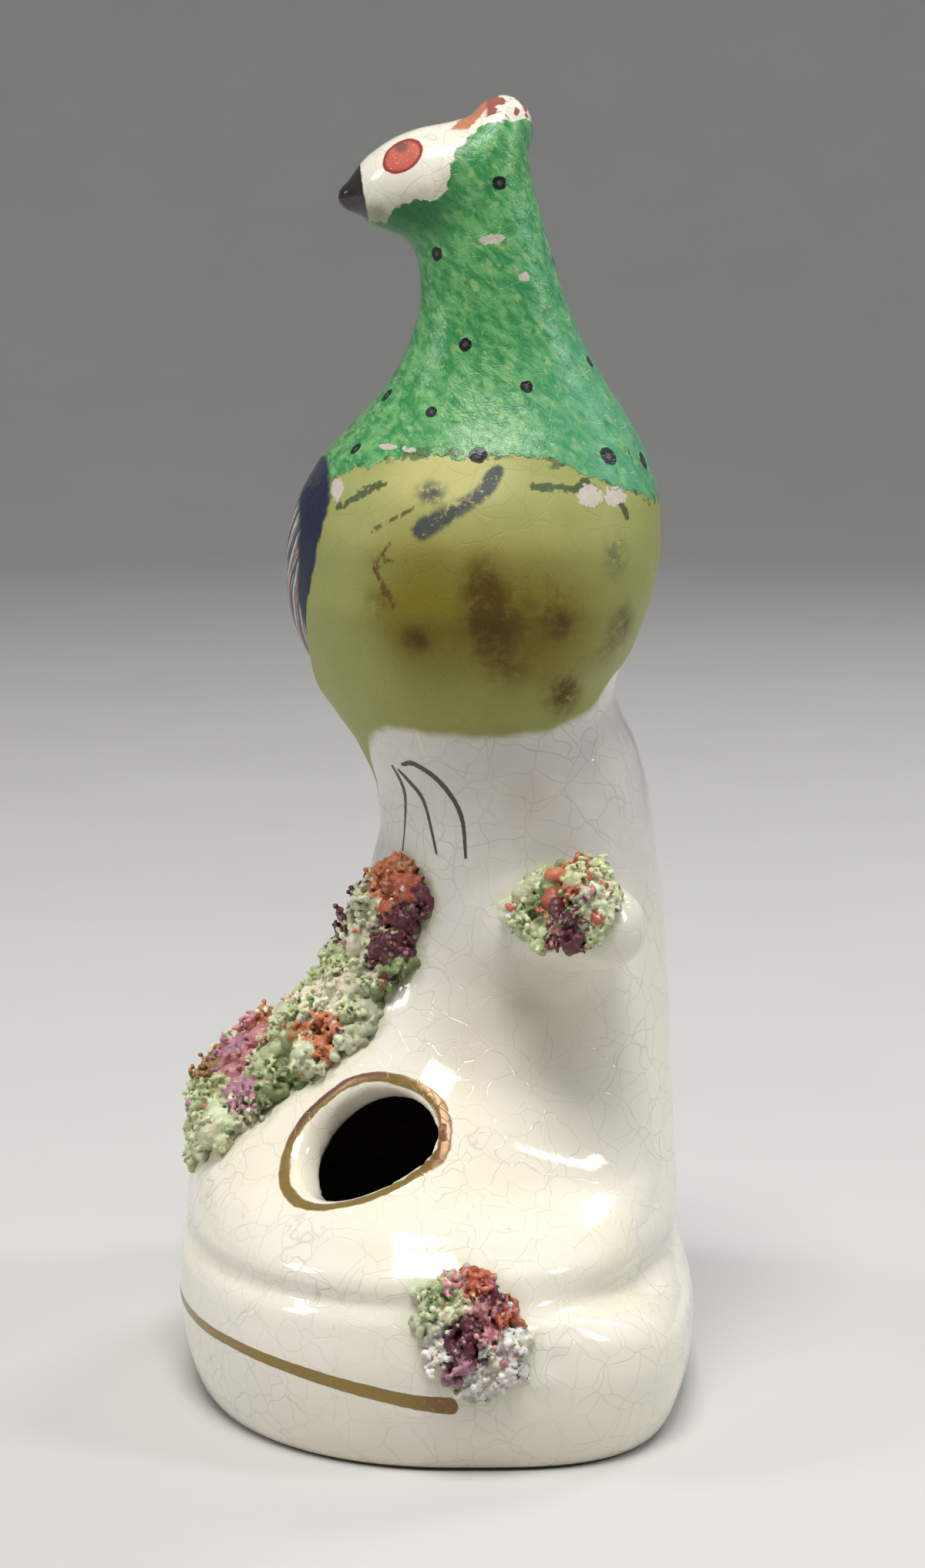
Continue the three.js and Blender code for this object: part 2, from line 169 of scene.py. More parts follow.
def ellipsoid_field(centre, radii, nod, dip):
    """Ellipsoid turned by nod about X after dip about Y, in degrees."""
    a, b = math.radians(nod), -math.radians(dip)
    about_x = np.array([[1, 0, 0], [0, math.cos(a), -math.sin(a)], [0, math.sin(a), math.cos(a)]])
    about_y = np.array([[math.cos(b), 0, math.sin(b)], [0, 1, 0], [-math.sin(b), 0, math.cos(b)]])
    into = (about_x @ about_y).T

    def field(x, y, z):
        dx, dy, dz = x - centre[0], y - centre[1], z - centre[2]
        p = [row[0] * dx + row[1] * dy + row[2] * dz for row in into]
        near = np.sqrt(sum((q / r) ** 2 for q, r in zip(p, radii)))
        steep = np.sqrt(sum((q / r**2) ** 2 for q, r in zip(p, radii)))
        return near * (near - 1) / np.maximum(steep, 1e-6)

    return field


def along_line(start, end, x, y, z):
    """How far a point is along a line, from 0 to its length, and its distance from it."""
    line = np.subtract(end, start).astype(float)
    length = np.linalg.norm(line)
    u = line / length
    dx, dy, dz = x - start[0], y - start[1], z - start[2]
    t = dx * u[0] + dy * u[1] + dz * u[2]
    s = np.clip(t, 0, length)
    away = np.sqrt((dx - s * u[0]) ** 2 + (dy - s * u[1]) ** 2 + (dz - s * u[2]) ** 2)
    return t, away, length


def limb_field(start, end, radii):
    def field(x, y, z):
        t, away, length = along_line(start, end, x, y, z)
        return away - radii[0] - (radii[1] - radii[0]) * np.clip(t / length, 0, 1)

    return field


def stub_field(x, y, z):
    radius = curve_of(STUB_RADII, 1)
    line = np.subtract(STUB_TO, STUB_FROM).astype(float)
    u = line / np.linalg.norm(line)
    dx, dy, dz = x - STUB_FROM[0], y - STUB_FROM[1], z - STUB_FROM[2]
    t = dx * u[0] + dy * u[1] + dz * u[2]
    s = np.maximum(t, 0)
    px, py, pz = dx - s * u[0], dy - s * u[1], (dz - s * u[2]) / STUB_FLATNESS
    around = np.sqrt(px**2 + py**2 + pz**2) - radius(s)
    return trim(around, t - STUB_RADII[-1][0], 5)


plinth_inset = curve_of(PLINTH_PROFILE, 1)


def plinth_field(x, y, z):
    groove_here = GROOVE_Z - GROOVE_FALL * np.maximum(0, y + 5) ** 2
    level = z * GROOVE_Z / groove_here
    reach = (
        PLINTH_HALF_LENGTH,
        PLINTH_HALF_LENGTH,
        PLINTH_MIDDLE_Y - PLINTH_FRONT_Y,
        PLINTH_BACK_Y - PLINTH_MIDDLE_Y,
    )
    side = side_distance(x, y - PLINTH_MIDDLE_Y, reach, PLINTH_ROUNDNESS) - plinth_inset(level)
    return trim(side, level - GROOVE_Z, 3.2)


trunk_and_bird = column_field(COLUMN, COLUMN_ROUNDNESS, COLUMN_TOP)
mound = column_field(MOUND, MOUND_ROUNDNESS, MOUND_TOP)
buttress = limb_field(*BUTTRESS)
shoulder = ellipsoid_field(*SHOULDER)
head = ellipsoid_field(*HEAD)
beak = limb_field(*BEAK)
crest = ellipsoid_field(*CREST)
wing = ellipsoid_field(*WING)
tail = limb_field(*TAIL)


def glaze_field(x, y, z):
    """Distance from the glazed outside of the figure, less than nothing inside it."""
    base = plinth_field(x, y, z)
    base = join(base, mound(x, y, z), 3)
    base = join(base, shoulder(x, y, z), 6)
    base = join(base, buttress(x, y, z), 6)
    bird = trunk_and_bird(x, y, z)
    bird = join(bird, head(x, y, z), 4)
    bird = join(bird, beak(x, y, z), 1.5)
    bird = join(bird, crest(x, y, z), 1)
    bird = join(bird, wing(x, y, z), 0.8)
    bird = join(bird, tail(x, y, z), 4)
    return join(join(base, bird, 7), stub_field(x, y, z), 3.5)


def clay_field(x, y, z):
    """Distance from all of the clay's surface: outside, hollow, pen hole and underside."""
    outside = glaze_field(x, y, z)
    hollow = np.maximum(trim(outside + WALL, z - HOLLOW_TOP, 8), FLOOR - z)
    axis = np.array(PEN_HOLE_AXIS) / np.linalg.norm(PEN_HOLE_AXIS)
    dx, dy, dz = (c - p for c, p in zip((x, y, z), PEN_HOLE_CENTRE))
    t = dx * axis[0] + dy * axis[1] + dz * axis[2]
    away = np.sqrt((dx - t * axis[0]) ** 2 + (dy - t * axis[1]) ** 2 + (dz - t * axis[2]) ** 2)
    hole = np.maximum(away - PEN_HOLE_RADIUS, -13 - t)
    clay = trim(outside, -hollow, 0.6)
    clay = trim(clay, -hole, RIM_ROUNDING)
    return trim(clay, -z, 0.8)


def slope_of(field, p, step=0.15):
    """Gradient of a field at points, an array of three columns."""
    x, y, z = p.T
    return (
        np.stack(
            [
                field(x + step, y, z) - field(x - step, y, z),
                field(x, y + step, z) - field(x, y - step, z),
                field(x, y, z + step) - field(x, y, z - step),
            ],
            axis=1,
        )
        / (2 * step)
    )


def onto_surface(field, p, rounds=2):
    for _ in range(rounds):
        g = slope_of(field, p)
        length = np.maximum((g * g).sum(1), 0.05)
        move = (field(*p.T) / length)[:, None] * g
        size = np.linalg.norm(move, axis=1, keepdims=True)
        p = p - move * np.minimum(1, 0.6 / np.maximum(size, 1e-9))
    return p


def net_of(value, low, step):
    """Vertices and quads of a grid's zero surface, with one vertex in each cell that it crosses."""
    inside = value < 0
    shape = tuple(n - 1 for n in value.shape)
    total = np.zeros(shape + (3,))
    count = np.zeros(shape)
    corner = [slice(0, -1), slice(1, None)]
    crossings = []
    for axis in range(3):
        first = [slice(None)] * 3
        second = [slice(None)] * 3
        first[axis], second[axis] = corner
        a, b = value[tuple(first)], value[tuple(second)]
        crossed = (a < 0) != (b < 0)
        crossings.append(crossed)
        share = np.where(crossed, a / np.where(a == b, 1, a - b), 0)
        others = [k for k in range(3) if k != axis]
        for i in (0, 1):
            for j in (0, 1):
                cut = [slice(None)] * 3
                cut[others[0]], cut[others[1]] = corner[i], corner[j]
                c = crossed[tuple(cut)]
                count += c
                total[..., axis] += np.where(c, share[tuple(cut)], 0)
                total[..., others[0]] += c * i
                total[..., others[1]] += c * j
    active = count > 0
    number = np.full(shape, -1)
    number[active] = np.arange(active.sum())
    cell = np.stack(np.nonzero(active), 1)
    points = (cell + total[active] / count[active][:, None]) * step + np.array(low)
    quads = []
    for axis in range(3):
        u, v = [(1, 2), (2, 0), (0, 1)][axis]
        edge = np.stack(np.nonzero(crossings[axis]), 1)
        keep = (edge[:, u] > 0) & (edge[:, v] > 0) & (edge[:, u] < shape[u]) & (edge[:, v] < shape[v])
        edge = edge[keep]
        ring = []
        for du, dv in ((-1, -1), (0, -1), (0, 0), (-1, 0)):
            at = edge.copy()
            at[:, u] += du
            at[:, v] += dv
            ring.append(number[tuple(at.T)])
        quad = np.stack(ring, 1)
        leaves = inside[tuple(edge.T)]
        quads.append(np.where(leaves[:, None], quad, quad[:, ::-1]))
    return points, np.concatenate(quads), cell


def surface_net(field, low, high, step):
    axes = [np.arange(a, b + step, step) for a, b in zip(low, high)]
    value = field(axes[0][:, None, None], axes[1][None, :, None], axes[2][None, None, :])
    value = np.ascontiguousarray(np.broadcast_to(value, [len(a) for a in axes]))
    points, quads, _ = net_of(value, low, step)
    return points, quads


def mesh_object(name, points, faces, material):
    """Smooth-shaded object from points in millimetres."""
    mesh = bpy.data.meshes.new(name)
    mesh.from_pydata((points * MM).tolist(), [], faces if isinstance(faces, list) else faces.tolist())
    mesh.validate()
    mesh.update()
    mesh.shade_smooth()
    mesh.materials.append(material)
    piece = bpy.data.objects.new(name, mesh)
    bpy.context.collection.objects.link(piece)
    return piece


def keep_value(piece, name, values):
    """Store one number, or one vector, for each vertex under a name that a material reads."""
    values = np.asarray(values, np.float32)
    if values.ndim == 1:
        piece.data.attributes.new(name, "FLOAT", "POINT").data.foreach_set("value", values)
    else:
        piece.data.attributes.new(name, "FLOAT_VECTOR", "POINT").data.foreach_set("vector", values.ravel())


def unit(v):
    return v / np.maximum(np.linalg.norm(v, axis=1, keepdims=True), 1e-9)


def glide(rows, t):
    """Catmull-Rom curve through rows, at t from 0 to 1."""
    rows = np.array(rows, float)
    rows = np.vstack([2 * rows[0] - rows[1], rows, 2 * rows[-1] - rows[-2]])
    step = np.clip(t, 0, 1 - 1e-9) * (len(rows) - 3)
    i = step.astype(int)
    f = (step - i)[:, None]
    a, b, c, d = (rows[i + k] for k in range(4))
    return 0.5 * (2 * b + (c - a) * f + (2 * a - 5 * b + 4 * c - d) * f**2 + (3 * b - a - 3 * c + d) * f**3)


class Wire:
    """A number, vector or colour in a material, ready for arithmetic."""

    def __init__(self, look, socket):
        self.look = look
        self.socket = socket

    def __add__(self, other):
        return self.look.calc("ADD", self, other)

    def __sub__(self, other):
        return self.look.calc("SUBTRACT", self, other)

    def __rsub__(self, other):
        return self.look.calc("SUBTRACT", other, self)

    def __mul__(self, other):
        return self.look.calc("MULTIPLY", self, other)

    def __truediv__(self, other):
        return self.look.calc("DIVIDE", self, other)

    def __abs__(self):
        return self.look.calc("ABSOLUTE", self)


class Look:
    """Adds linked shader nodes to one material."""

    def __init__(self, name):
        self.material = bpy.data.materials.new(name)
        self.material.use_nodes = True
        self.tree = self.material.node_tree
        self.shader = self.tree.nodes["Principled BSDF"]
        coordinates = self.node("TexCoord")
        self.place = self.vector("SCALE", coordinates.outputs["Object"], scale=1 / MM)

    def feed(self, socket, value):
        value = getattr(value, "socket", value)
        if isinstance(value, bpy.types.NodeSocket):
            self.tree.links.new(value, socket)
        elif value is not None:
            socket.default_value = value

    def node(self, kind, *values, **settings):
        made = self.tree.nodes.new("ShaderNode" + kind)
        for key, value in settings.items():
            setattr(made, key, value)
        for socket, value in zip(made.inputs, values):
            self.feed(socket, value)
        return made

    def calc(self, operation, *values):
        return Wire(self, self.node("Math", *values, operation=operation).outputs[0])

    def vector(self, operation, *values, scale=None):
        made = self.node("VectorMath", *values, operation=operation)
        if scale is not None:
            made.inputs["Scale"].default_value = scale
        is_number = operation in ("LENGTH", "DISTANCE", "DOT_PRODUCT")
        return Wire(self, made.outputs["Value" if is_number else "Vector"])

    def value(self, name):
        return Wire(self, self.node("Attribute", attribute_name=name).outputs["Fac"])

    def offset(self, name):
        return Wire(self, self.node("Attribute", attribute_name=name).outputs["Vector"])

    def parts(self, vector):
        return [Wire(self, part) for part in self.node("SeparateXYZ", vector).outputs]

    def joined(self, x, y, z):
        return Wire(self, self.node("CombineXYZ", x, y, z).outputs[0])

    def step(self, value, low, high):
        """0 below low, 1 above high and a soft step between."""
        made = self.node("MapRange", value, low, high, interpolation_type="SMOOTHSTEP")
        return Wire(self, made.outputs["Result"])

    def noise(self, size, detail=2.0, roughness=0.5, place=None, warp=0.0):
        """Noise from 0 to 1 with features of about the given size in millimetres."""
        made = self.node("TexNoise")
        self.feed(made.inputs["Vector"], place or self.place)
        made.inputs["Scale"].default_value = 1 / size
        made.inputs["Detail"].default_value = detail
        made.inputs["Roughness"].default_value = roughness
        made.inputs["Distortion"].default_value = warp
        return Wire(self, made.outputs["Fac"])

    def wander(self, size, amount):
        """Noise about zero, to make an edge ragged."""
        return (self.noise(size) - 0.5) * amount

    def mix(self, share, a, b):
        made = self.node("Mix", data_type="RGBA")
        self.feed(made.inputs[0], share)
        for socket, value in ((made.inputs[6], a), (made.inputs[7], b)):
            self.feed(socket, value + (1,) if isinstance(value, tuple) else value)
        return Wire(self, made.outputs[2])

    def blend(self, share, a, b):
        made = self.node("Mix", share, data_type="FLOAT")
        self.feed(made.inputs[2], a)
        self.feed(made.inputs[3], b)
        return Wire(self, made.outputs[0])

    def bump(self, height, depth, before=None):
        """Relief of the given depth in millimetres."""
        made = self.node("Bump")
        made.inputs["Strength"].default_value = 1
        made.inputs["Distance"].default_value = depth * MM
        self.feed(made.inputs["Height"], height)
        if before is not None:
            self.feed(made.inputs["Normal"], before)
        return Wire(self, made.outputs["Normal"])


# Moss is made of florets, each of a few beads. Some larger beads lie low in the heap as its bed.
FLORETS_PER_AREA = 5.5
BEADS_PER_FLORET = 3
BEAD_RADII = (0.24, 0.4)
BEAD_SCATTER = 0.3
BED_SHARE = 0.22
BED_HEIGHT = 0.55
BED_RADII = (0.5, 0.72)
COVER_SLACK = 0.2
MOSS_STEP = 0.25
MOSS_EDGE = 1.2
STRAY_SHARE = 0.1

# Moss clusters: x, y, z, half width and thickness along each
MOSS_FRONT = [
    (7, -6.5, 63.6, 4, 1.6), (9, -7.5, 60.6, 7, 4.4), (9, -9.5, 53, 8.5, 4),
    (7.5, -14.5, 46, 9.5, 4.4), (6, -21.5, 40, 10.5, 4.8), (4, -27.5, 35.8, 10.5, 5.2),
    (2, -30.5, 31.8, 8, 2.4), (1, -31.2, 29.6, 5, 1.2),
]
MOSS_BRANCH = [
    (17, 7.5, 60, 3.5, 1.4), (19.5, 9.5, 60.8, 6, 3), (23, 12.5, 61.6, 7, 3.6),
    (26.5, 15.2, 62.2, 7, 3.6), (29.5, 18, 62.2, 5.6, 3), (31, 20.3, 61.8, 3, 1.4),
]
MOSS_PLINTH = [
    (44.3, 1.5, 22.6, 3, 1.4), (45.6, 2.6, 20.2, 5, 2.8), (46.6, 4.2, 16.5, 5.6, 3.2),
    (46.9, 6, 13, 4.7, 2.6), (46.7, 7.4, 10.6, 2.8, 1.2),
]

# Colours of the stained clay, and of the painted shade in its gaps
LIGHT_GREEN = (0.47, 0.52, 0.28)
DARK_GREEN = (0.17, 0.22, 0.085)
ORANGE = (0.50, 0.16, 0.065)
RED_ORANGE = (0.42, 0.085, 0.04)
MAROON = (0.10, 0.010, 0.028)
PINK = (0.52, 0.21, 0.23)
MAUVE = (0.42, 0.19, 0.27)
CREAM = (0.70, 0.67, 0.49)
PALE_GREEN = (0.58, 0.60, 0.40)
OCHRE = (0.30, 0.15, 0.045)
CHALK = (0.70, 0.67, 0.62)
# Painted shade, with dirt, in the gaps low in a heap of moss
SHADED_GAP_BROWN = (0.10, 0.085, 0.045)
TIP_CREAM = (0.72, 0.70, 0.54)

# Patches of colour in each cluster: a place, how far it spreads, and its colour
PATCHES_FRONT = [
    (11.5, -7.5, 62.5, 1.7, ORANGE), (12.8, -6, 60.5, 1.6, RED_ORANGE),
    (9.8, -10.5, 58, 3.2, PALE_GREEN), (9.2, -11.2, 55.6, 2.4, CREAM),
    (14.9, -6.4, 56.1, 3, MAROON), (15.7, -2.9, 56, 1.6, MAROON), (14.5, -3.8, 59, 1.6, MAROON),
    (9.3, -12.5, 52.5, 2, LIGHT_GREEN), (15.3, -5, 52.6, 1.7, DARK_GREEN),
    (15.1, -6.4, 49, 2, DARK_GREEN), (13.5, -10.6, 51.2, 2.8, PALE_GREEN),
    (11, -13.6, 49.7, 3, CREAM), (7.7, -16.5, 48.6, 2.4, CREAM),
    (15.4, -10.5, 47.5, 1.4, LIGHT_GREEN), (14.9, -14.5, 44.9, 2.5, ORANGE),
    (15.7, -10.5, 44.2, 2.4, PALE_GREEN), (15.7, -7.5, 46, 2, PALE_GREEN),
    (7.4, -20.5, 44.8, 2, LIGHT_GREEN), (9.1, -17.1, 47, 1.4, LIGHT_GREEN),
    (6.4, -24.2, 42.1, 2.4, PINK), (5.5, -26.2, 40.8, 1.5, MAUVE),
    (11.4, -21.8, 41, 2.4, LIGHT_GREEN), (14.8, -19.1, 40.2, 2.6, DARK_GREEN),
    (15, -17, 41.5, 2.2, PALE_GREEN), (1.5, -28.9, 38.1, 2.6, OCHRE),
    (12.1, -24.8, 38.1, 1.6, MAUVE), (14, -24.2, 36, 1.7, MAUVE),
    (11.8, -28.2, 35.9, 2.4, LIGHT_GREEN), (12.8, -28.9, 33, 2.4, PALE_GREEN),
    (15.1, -21.6, 38, 2, DARK_GREEN), (14, -25, 33.5, 2.4, PALE_GREEN),
    (3, -31, 33.5, 3, LIGHT_GREEN), (0, -15, 50, 4, LIGHT_GREEN), (2, -10, 58, 3, MAROON),
    (-1, -22, 44, 1.6, ORANGE), (-4, -28, 38, 3, PALE_GREEN), (-3, -29, 33, 3, MAUVE),
    (0, -19, 46, 2.4, CREAM),
]
PATCHES_BRANCH = [
    (16.3, 18.6, 66, 2.4, LIGHT_GREEN), (18, 16, 66, 2.4, LIGHT_GREEN),
    (29.8, 13.6, 65.1, 1.5, RED_ORANGE), (31.4, 16, 65.3, 1.3, RED_ORANGE),
    (27, 18.5, 65.5, 1, PINK), (26.8, 20.7, 64.6, 2.6, LIGHT_GREEN),
    (32.1, 19.4, 63.6, 2.8, PALE_GREEN), (30.4, 21.6, 61.9, 2, LIGHT_GREEN),
    (30.1, 22.7, 60, 2, DARK_GREEN), (26.7, 10.2, 62.6, 2.4, DARK_GREEN),
    (25.1, 8.9, 61.3, 2.2, LIGHT_GREEN), (28.6, 11, 60.5, 2.2, LIGHT_GREEN),
    (31.8, 14.1, 61.8, 1.2, MAROON), (31.6, 13.3, 60, 1.4, PINK), (30.1, 15.4, 58.6, 2, MAROON),
    (32.9, 17.2, 61, 1.4, MAROON), (31.3, 18.8, 59.9, 1.8, LIGHT_GREEN),
    (29.6, 19, 56.4, 1.4, CHALK), (20, 9, 62, 3, PALE_GREEN), (22, 18, 64.5, 2.4, ORANGE),
]
# Ragged outline of the branch moss in Y and Z, as seen from the breast side
COVER_BRANCH = [
    (8.2, 61.2), (10, 62.9), (12.5, 65.4), (15.4, 66), (16.6, 68.2), (19.6, 68), (21.2, 66.2),
    (23.2, 64), (23.4, 59.6), (21.9, 59.6), (19.4, 61.4), (18.2, 56.4), (16.6, 55.6),
    (13.3, 56.1), (11.5, 58.4), (9, 59.4),
]
PATCHES_PLINTH = [
    (44.2, -0.6, 22.4, 2, LIGHT_GREEN), (45.1, -2, 20.7, 2, PALE_GREEN),
    (46.8, 1.4, 22.6, 1.6, PINK), (47.4, 4.5, 22.5, 1.8, RED_ORANGE),
    (47.4, 0.5, 21.1, 1.6, DARK_GREEN), (48.5, 0.8, 19, 1.6, PALE_GREEN),
    (48.4, 3.6, 20.8, 1.6, LIGHT_GREEN), (47.8, 6.8, 21.2, 1.6, MAROON),
    (48.5, 5.4, 19.8, 1.6, PINK), (49, 7.1, 18.9, 1.4, RED_ORANGE),
    (47.6, 8.4, 19.6, 1.4, RED_ORANGE), (49.9, 4.3, 18, 1.6, MAROON),
    (49.6, 2.2, 16.8, 1.8, MAROON), (50, 4.6, 15.4, 1.8, MAROON),
    (49.2, -0.1, 15.7, 1.6, CHALK), (49.6, 6.4, 16.6, 1.4, PINK), (49.5, 6.8, 14.6, 1.6, CHALK),
    (49.6, 3.1, 13.4, 1.4, MAUVE), (49.8, 8.1, 13.6, 1.8, CHALK), (49.2, 5.6, 11.6, 2, CHALK),
    (49.2, 9.2, 15.6, 1.6, CHALK), (48.4, 6.4, 10.6, 2, CHALK),
]


def moss_beads(stations, rng, cover):
    """Heap of small fused beads over a strip of the glaze: their middles, radii, florets and levels."""
    width = glide(stations, np.linspace(0, 1, 40))[:, 3].mean()
    length = sum(math.dist(a[:3], b[:3]) for a, b in zip(stations, stations[1:]))
    count = int(2 * length * width * FLORETS_PER_AREA)
    t = rng.random(count)
    side = rng.uniform(-1, 1, count)
    row = glide(stations, t)
    near = onto_surface(glaze_field, row[:, :3], 3)
    ahead = glide(stations, t + 0.01)[:, :3] - glide(stations, t - 0.01)[:, :3]
    across = unit(np.cross(ahead, slope_of(glaze_field, near)))
    ragged = 1 + 0.1 * np.sin(23 * t + 1.3 * np.sign(side)) + 0.08 * np.sin(57 * t)
    foot = onto_surface(glaze_field, near + across * (side * row[:, 3] * ragged)[:, None], 3)
    out = unit(slope_of(glaze_field, foot))
    x, y, z = foot.T
    broad_lump = 0.24 * np.sin(0.9 * x + 0.7 * z) * np.sin(0.8 * y - 0.9 * z)
    lump = 1 + broad_lump + 0.16 * np.sin(2.1 * y) * np.sin(1.9 * z)
    heap = row[:, 4] * (0.22 + 0.78 * np.sqrt(1 - side**2)) * lump
    level = rng.random(count) ** 0.7
    in_bed = rng.random(count) < BED_SHARE
    level = np.where(in_bed, BED_HEIGHT * level, level)
    middle = foot + out * (level * np.maximum(heap - 0.3, 0.15))[:, None]
    if cover:
        kept = inside_outline(middle[:, 1], middle[:, 2], cover) > -COVER_SLACK
        middle, level, in_bed, heap = middle[kept], level[kept], in_bed[kept], heap[kept]
    floret = np.repeat(np.arange(len(middle)), BEADS_PER_FLORET)
    bed_radius = rng.uniform(*BED_RADII, len(floret)) * np.clip(0.42 * heap, 0.9, 2.1)[floret]
    radius = np.where(in_bed[floret], bed_radius, rng.uniform(*BEAD_RADII, len(floret)))
    beads = middle[floret] + rng.normal(size=(len(floret), 3)) * BEAD_SCATTER
    return beads, radius, floret, level[floret]


def moss_piece(name, stations, patches, cover, material, seed):
    """One cluster as a closed mesh, and the middles of its beads."""
    rng = np.random.default_rng(seed)
    beads, radius, floret, level = moss_beads(stations, rng, cover)
    low = beads.min(0) - MOSS_EDGE
    shape = np.ceil((beads.max(0) + MOSS_EDGE - low) / MOSS_STEP).astype(int) + 1
    value = np.full(shape, 1.0, np.float32)
    owner = np.zeros(shape, np.int32)
    axes = [low[k] + MOSS_STEP * np.arange(shape[k]) for k in range(3)]
    reach = (radius + 1.5 * MOSS_STEP)[:, None]
    firsts = np.floor((beads - reach - low) / MOSS_STEP).astype(int)
    lasts = np.ceil((beads + reach - low) / MOSS_STEP).astype(int) + 1
    for k in range(len(beads)):
        cut = tuple(slice(a, b) for a, b in zip(firsts[k], lasts[k]))
        x, y, z = (axes[i][cut[i]] - beads[k, i] for i in range(3))
        away = np.sqrt(x[:, None, None] ** 2 + y[None, :, None] ** 2 + z[None, None, :] ** 2) - radius[k]
        nearer = away < value[cut]
        value[cut][nearer] = away[nearer]
        owner[cut][nearer] = k
    points, quads, cell = largest_part(*net_of(value, low, MOSS_STEP))
    nearest = owner[tuple(cell.T)]

    count = floret.max() + 1
    middle = np.stack([np.bincount(floret, beads[:, c], count) for c in range(3)], 1) / BEADS_PER_FLORET
    middle = middle + rng.normal(size=middle.shape) * 0.35
    far = np.stack([np.linalg.norm(middle - place, axis=1) / spread for *place, spread, _ in patches], 1)
    choice = far.argmin(1)
    stray = rng.random(count) < STRAY_SHARE
    choice[stray] = rng.integers(0, len(patches), stray.sum())
    tint = np.array([patch[-1] for patch in patches])[choice]
    tint = tint * rng.uniform(0.75, 1.25, (count, 1)) * rng.uniform(0.93, 1.07, (count, 3))
    tint = tint[floret] * rng.uniform(0.85, 1.15, (len(floret), 1))
    piece = mesh_object(name, points, quads, material)
    keep_value(piece, "stain", tint[nearest])
    keep_value(piece, "level", level[nearest])
    return piece, beads


def largest_part(points, quads, cell):
    """Drop shreds that touch nothing."""
    label = np.arange(len(points))
    while True:
        lowest = label[quads].min(1)
        following = label.copy()
        for c in range(4):
            np.minimum.at(following, quads[:, c], lowest)
        following = following[following]
        if (following == label).all():
            break
        label = following
    kept = label == np.bincount(label).argmax()
    number = np.cumsum(kept) - 1
    return points[kept], number[quads[kept[quads[:, 0]]]], cell[kept]


def along_path(points, path, steps=14):
    """Offset and distance from the nearest spot on a path, and the share of the path up to it."""
    path = glide(path, np.linspace(0, 1, steps + 1)) if len(path) > 2 else np.array(path, float)
    best = np.full(len(points), np.inf)
    offset = np.zeros((len(points), 3))
    share = np.zeros(len(points))
    for k, (a, b) in enumerate(zip(path, path[1:])):
        line = b - a
        t = np.clip((points - a) @ line / (line @ line), 0, 1)
        away = points - a - t[:, None] * line
        size = np.linalg.norm(away, axis=1)
        nearer = size < best
        best[nearer] = size[nearer]
        offset[nearer] = away[nearer]
        share[nearer] = (k + t[nearer]) / (len(path) - 1)
    return offset, best, share


def inside_outline(u, v, corners):
    """How far a place is inside an outline, less than nothing outside it."""
    nearest = np.full(u.shape, np.inf)
    inside = np.zeros(u.shape, bool)
    for (au, av), (bu, bv) in zip(corners, corners[1:] + corners[:1]):
        du, dv = bu - au, bv - av
        t = np.clip(((u - au) * du + (v - av) * dv) / (du * du + dv * dv), 0, 1)
        nearest = np.minimum(nearest, np.hypot(u - au - t * du, v - av - t * dv))
        if bv != av:
            inside ^= ((av > v) != (bv > v)) & (u < au + (v - av) * du / dv)
    return np.where(inside, nearest, -nearest)


def glow(points, spots):
    """Soft spots, each given by its place, its reach along each axis and its strength."""
    total = np.zeros(len(points))
    for place, reach, strength in spots:
        total += strength * np.exp(-(((points - np.array(place)) / np.array(reach)) ** 2).sum(1))
    return total


# Lower edge of the green and of the yellow, as heights by direction round the bird in degrees from +X
GREEN_FLOOR = [
    (-180, 99), (-140, 104), (-110, 107), (-78, 109.3), (-51, 112), (-34, 114.1), (-23, 114.8),
    (-4, 114.3), (7, 114.9), (21, 114), (31, 112.1), (41, 110.4), (50, 109.3), (90, 108.5),
    (120, 106), (150, 102), (180, 99),
]
YELLOW_FLOOR = [
    (-180, 47), (-160, 50), (-140, 60), (-120, 67), (-95, 73), (-70, 79), (-46, 81.8),
    (-26, 81.2), (4, 80.9), (27, 81.6), (46, 83.9), (61, 87.8), (90, 89), (120, 80), (150, 60),
    (180, 47),
]
BIRD_MIDDLE = (3, 6)
YELLOW_UNDER_GREEN = 4
POOLING_REACH = 2.2

# White face and crest as an outline in Y and Z, alike on both sides of the head
FACE = [
    (-30, 141.9), (-8.2, 141.6), (-5.9, 141.2), (-5.2, 142.9), (-2.5, 143.9), (0.2, 144.3),
    (1.3, 145.4), (1.5, 147.4), (2.7, 149.6), (4.4, 151.8), (5.3, 152.7), (9.6, 153.3),
    (16, 153.6), (16, 165), (-30, 165),
]

# Black dots: x, y, z and radius. Those on the far side are in keeping.
DOTS = [
    (15.3, 7.4, 145.9, 0.85), (13.5, 0.4, 137.7, 0.85), (16.6, 3.4, 127.2, 0.8),
    (11.1, -5.8, 121.1, 0.9), (18.4, -0.5, 119.4, 0.75), (18.6, 10.6, 122.4, 0.75),
    (12, 18.1, 125.1, 0.8), (15, -9.1, 114.6, 0.8), (22.9, 4.9, 114.6, 1.05),
    (19.9, 20.1, 114.4, 1.15), (13.7, 24.4, 113.5, 1.1), (10, 14, 137, 0.8), (3, -2, 136, 0.85),
    (1, 3, 128, 0.8), (-2, -4, 119, 0.8), (6, -9, 116, 0.85), (-7, 4, 118, 0.85),
    (-13, -6, 111, 0.9), (-3, -13, 112, 0.85), (-15, 8, 111, 0.9), (-6, 14, 121, 0.8),
    (-20, 0, 106, 0.9), (2, 12, 144, 0.8), (-1, 9, 134, 0.8),
]

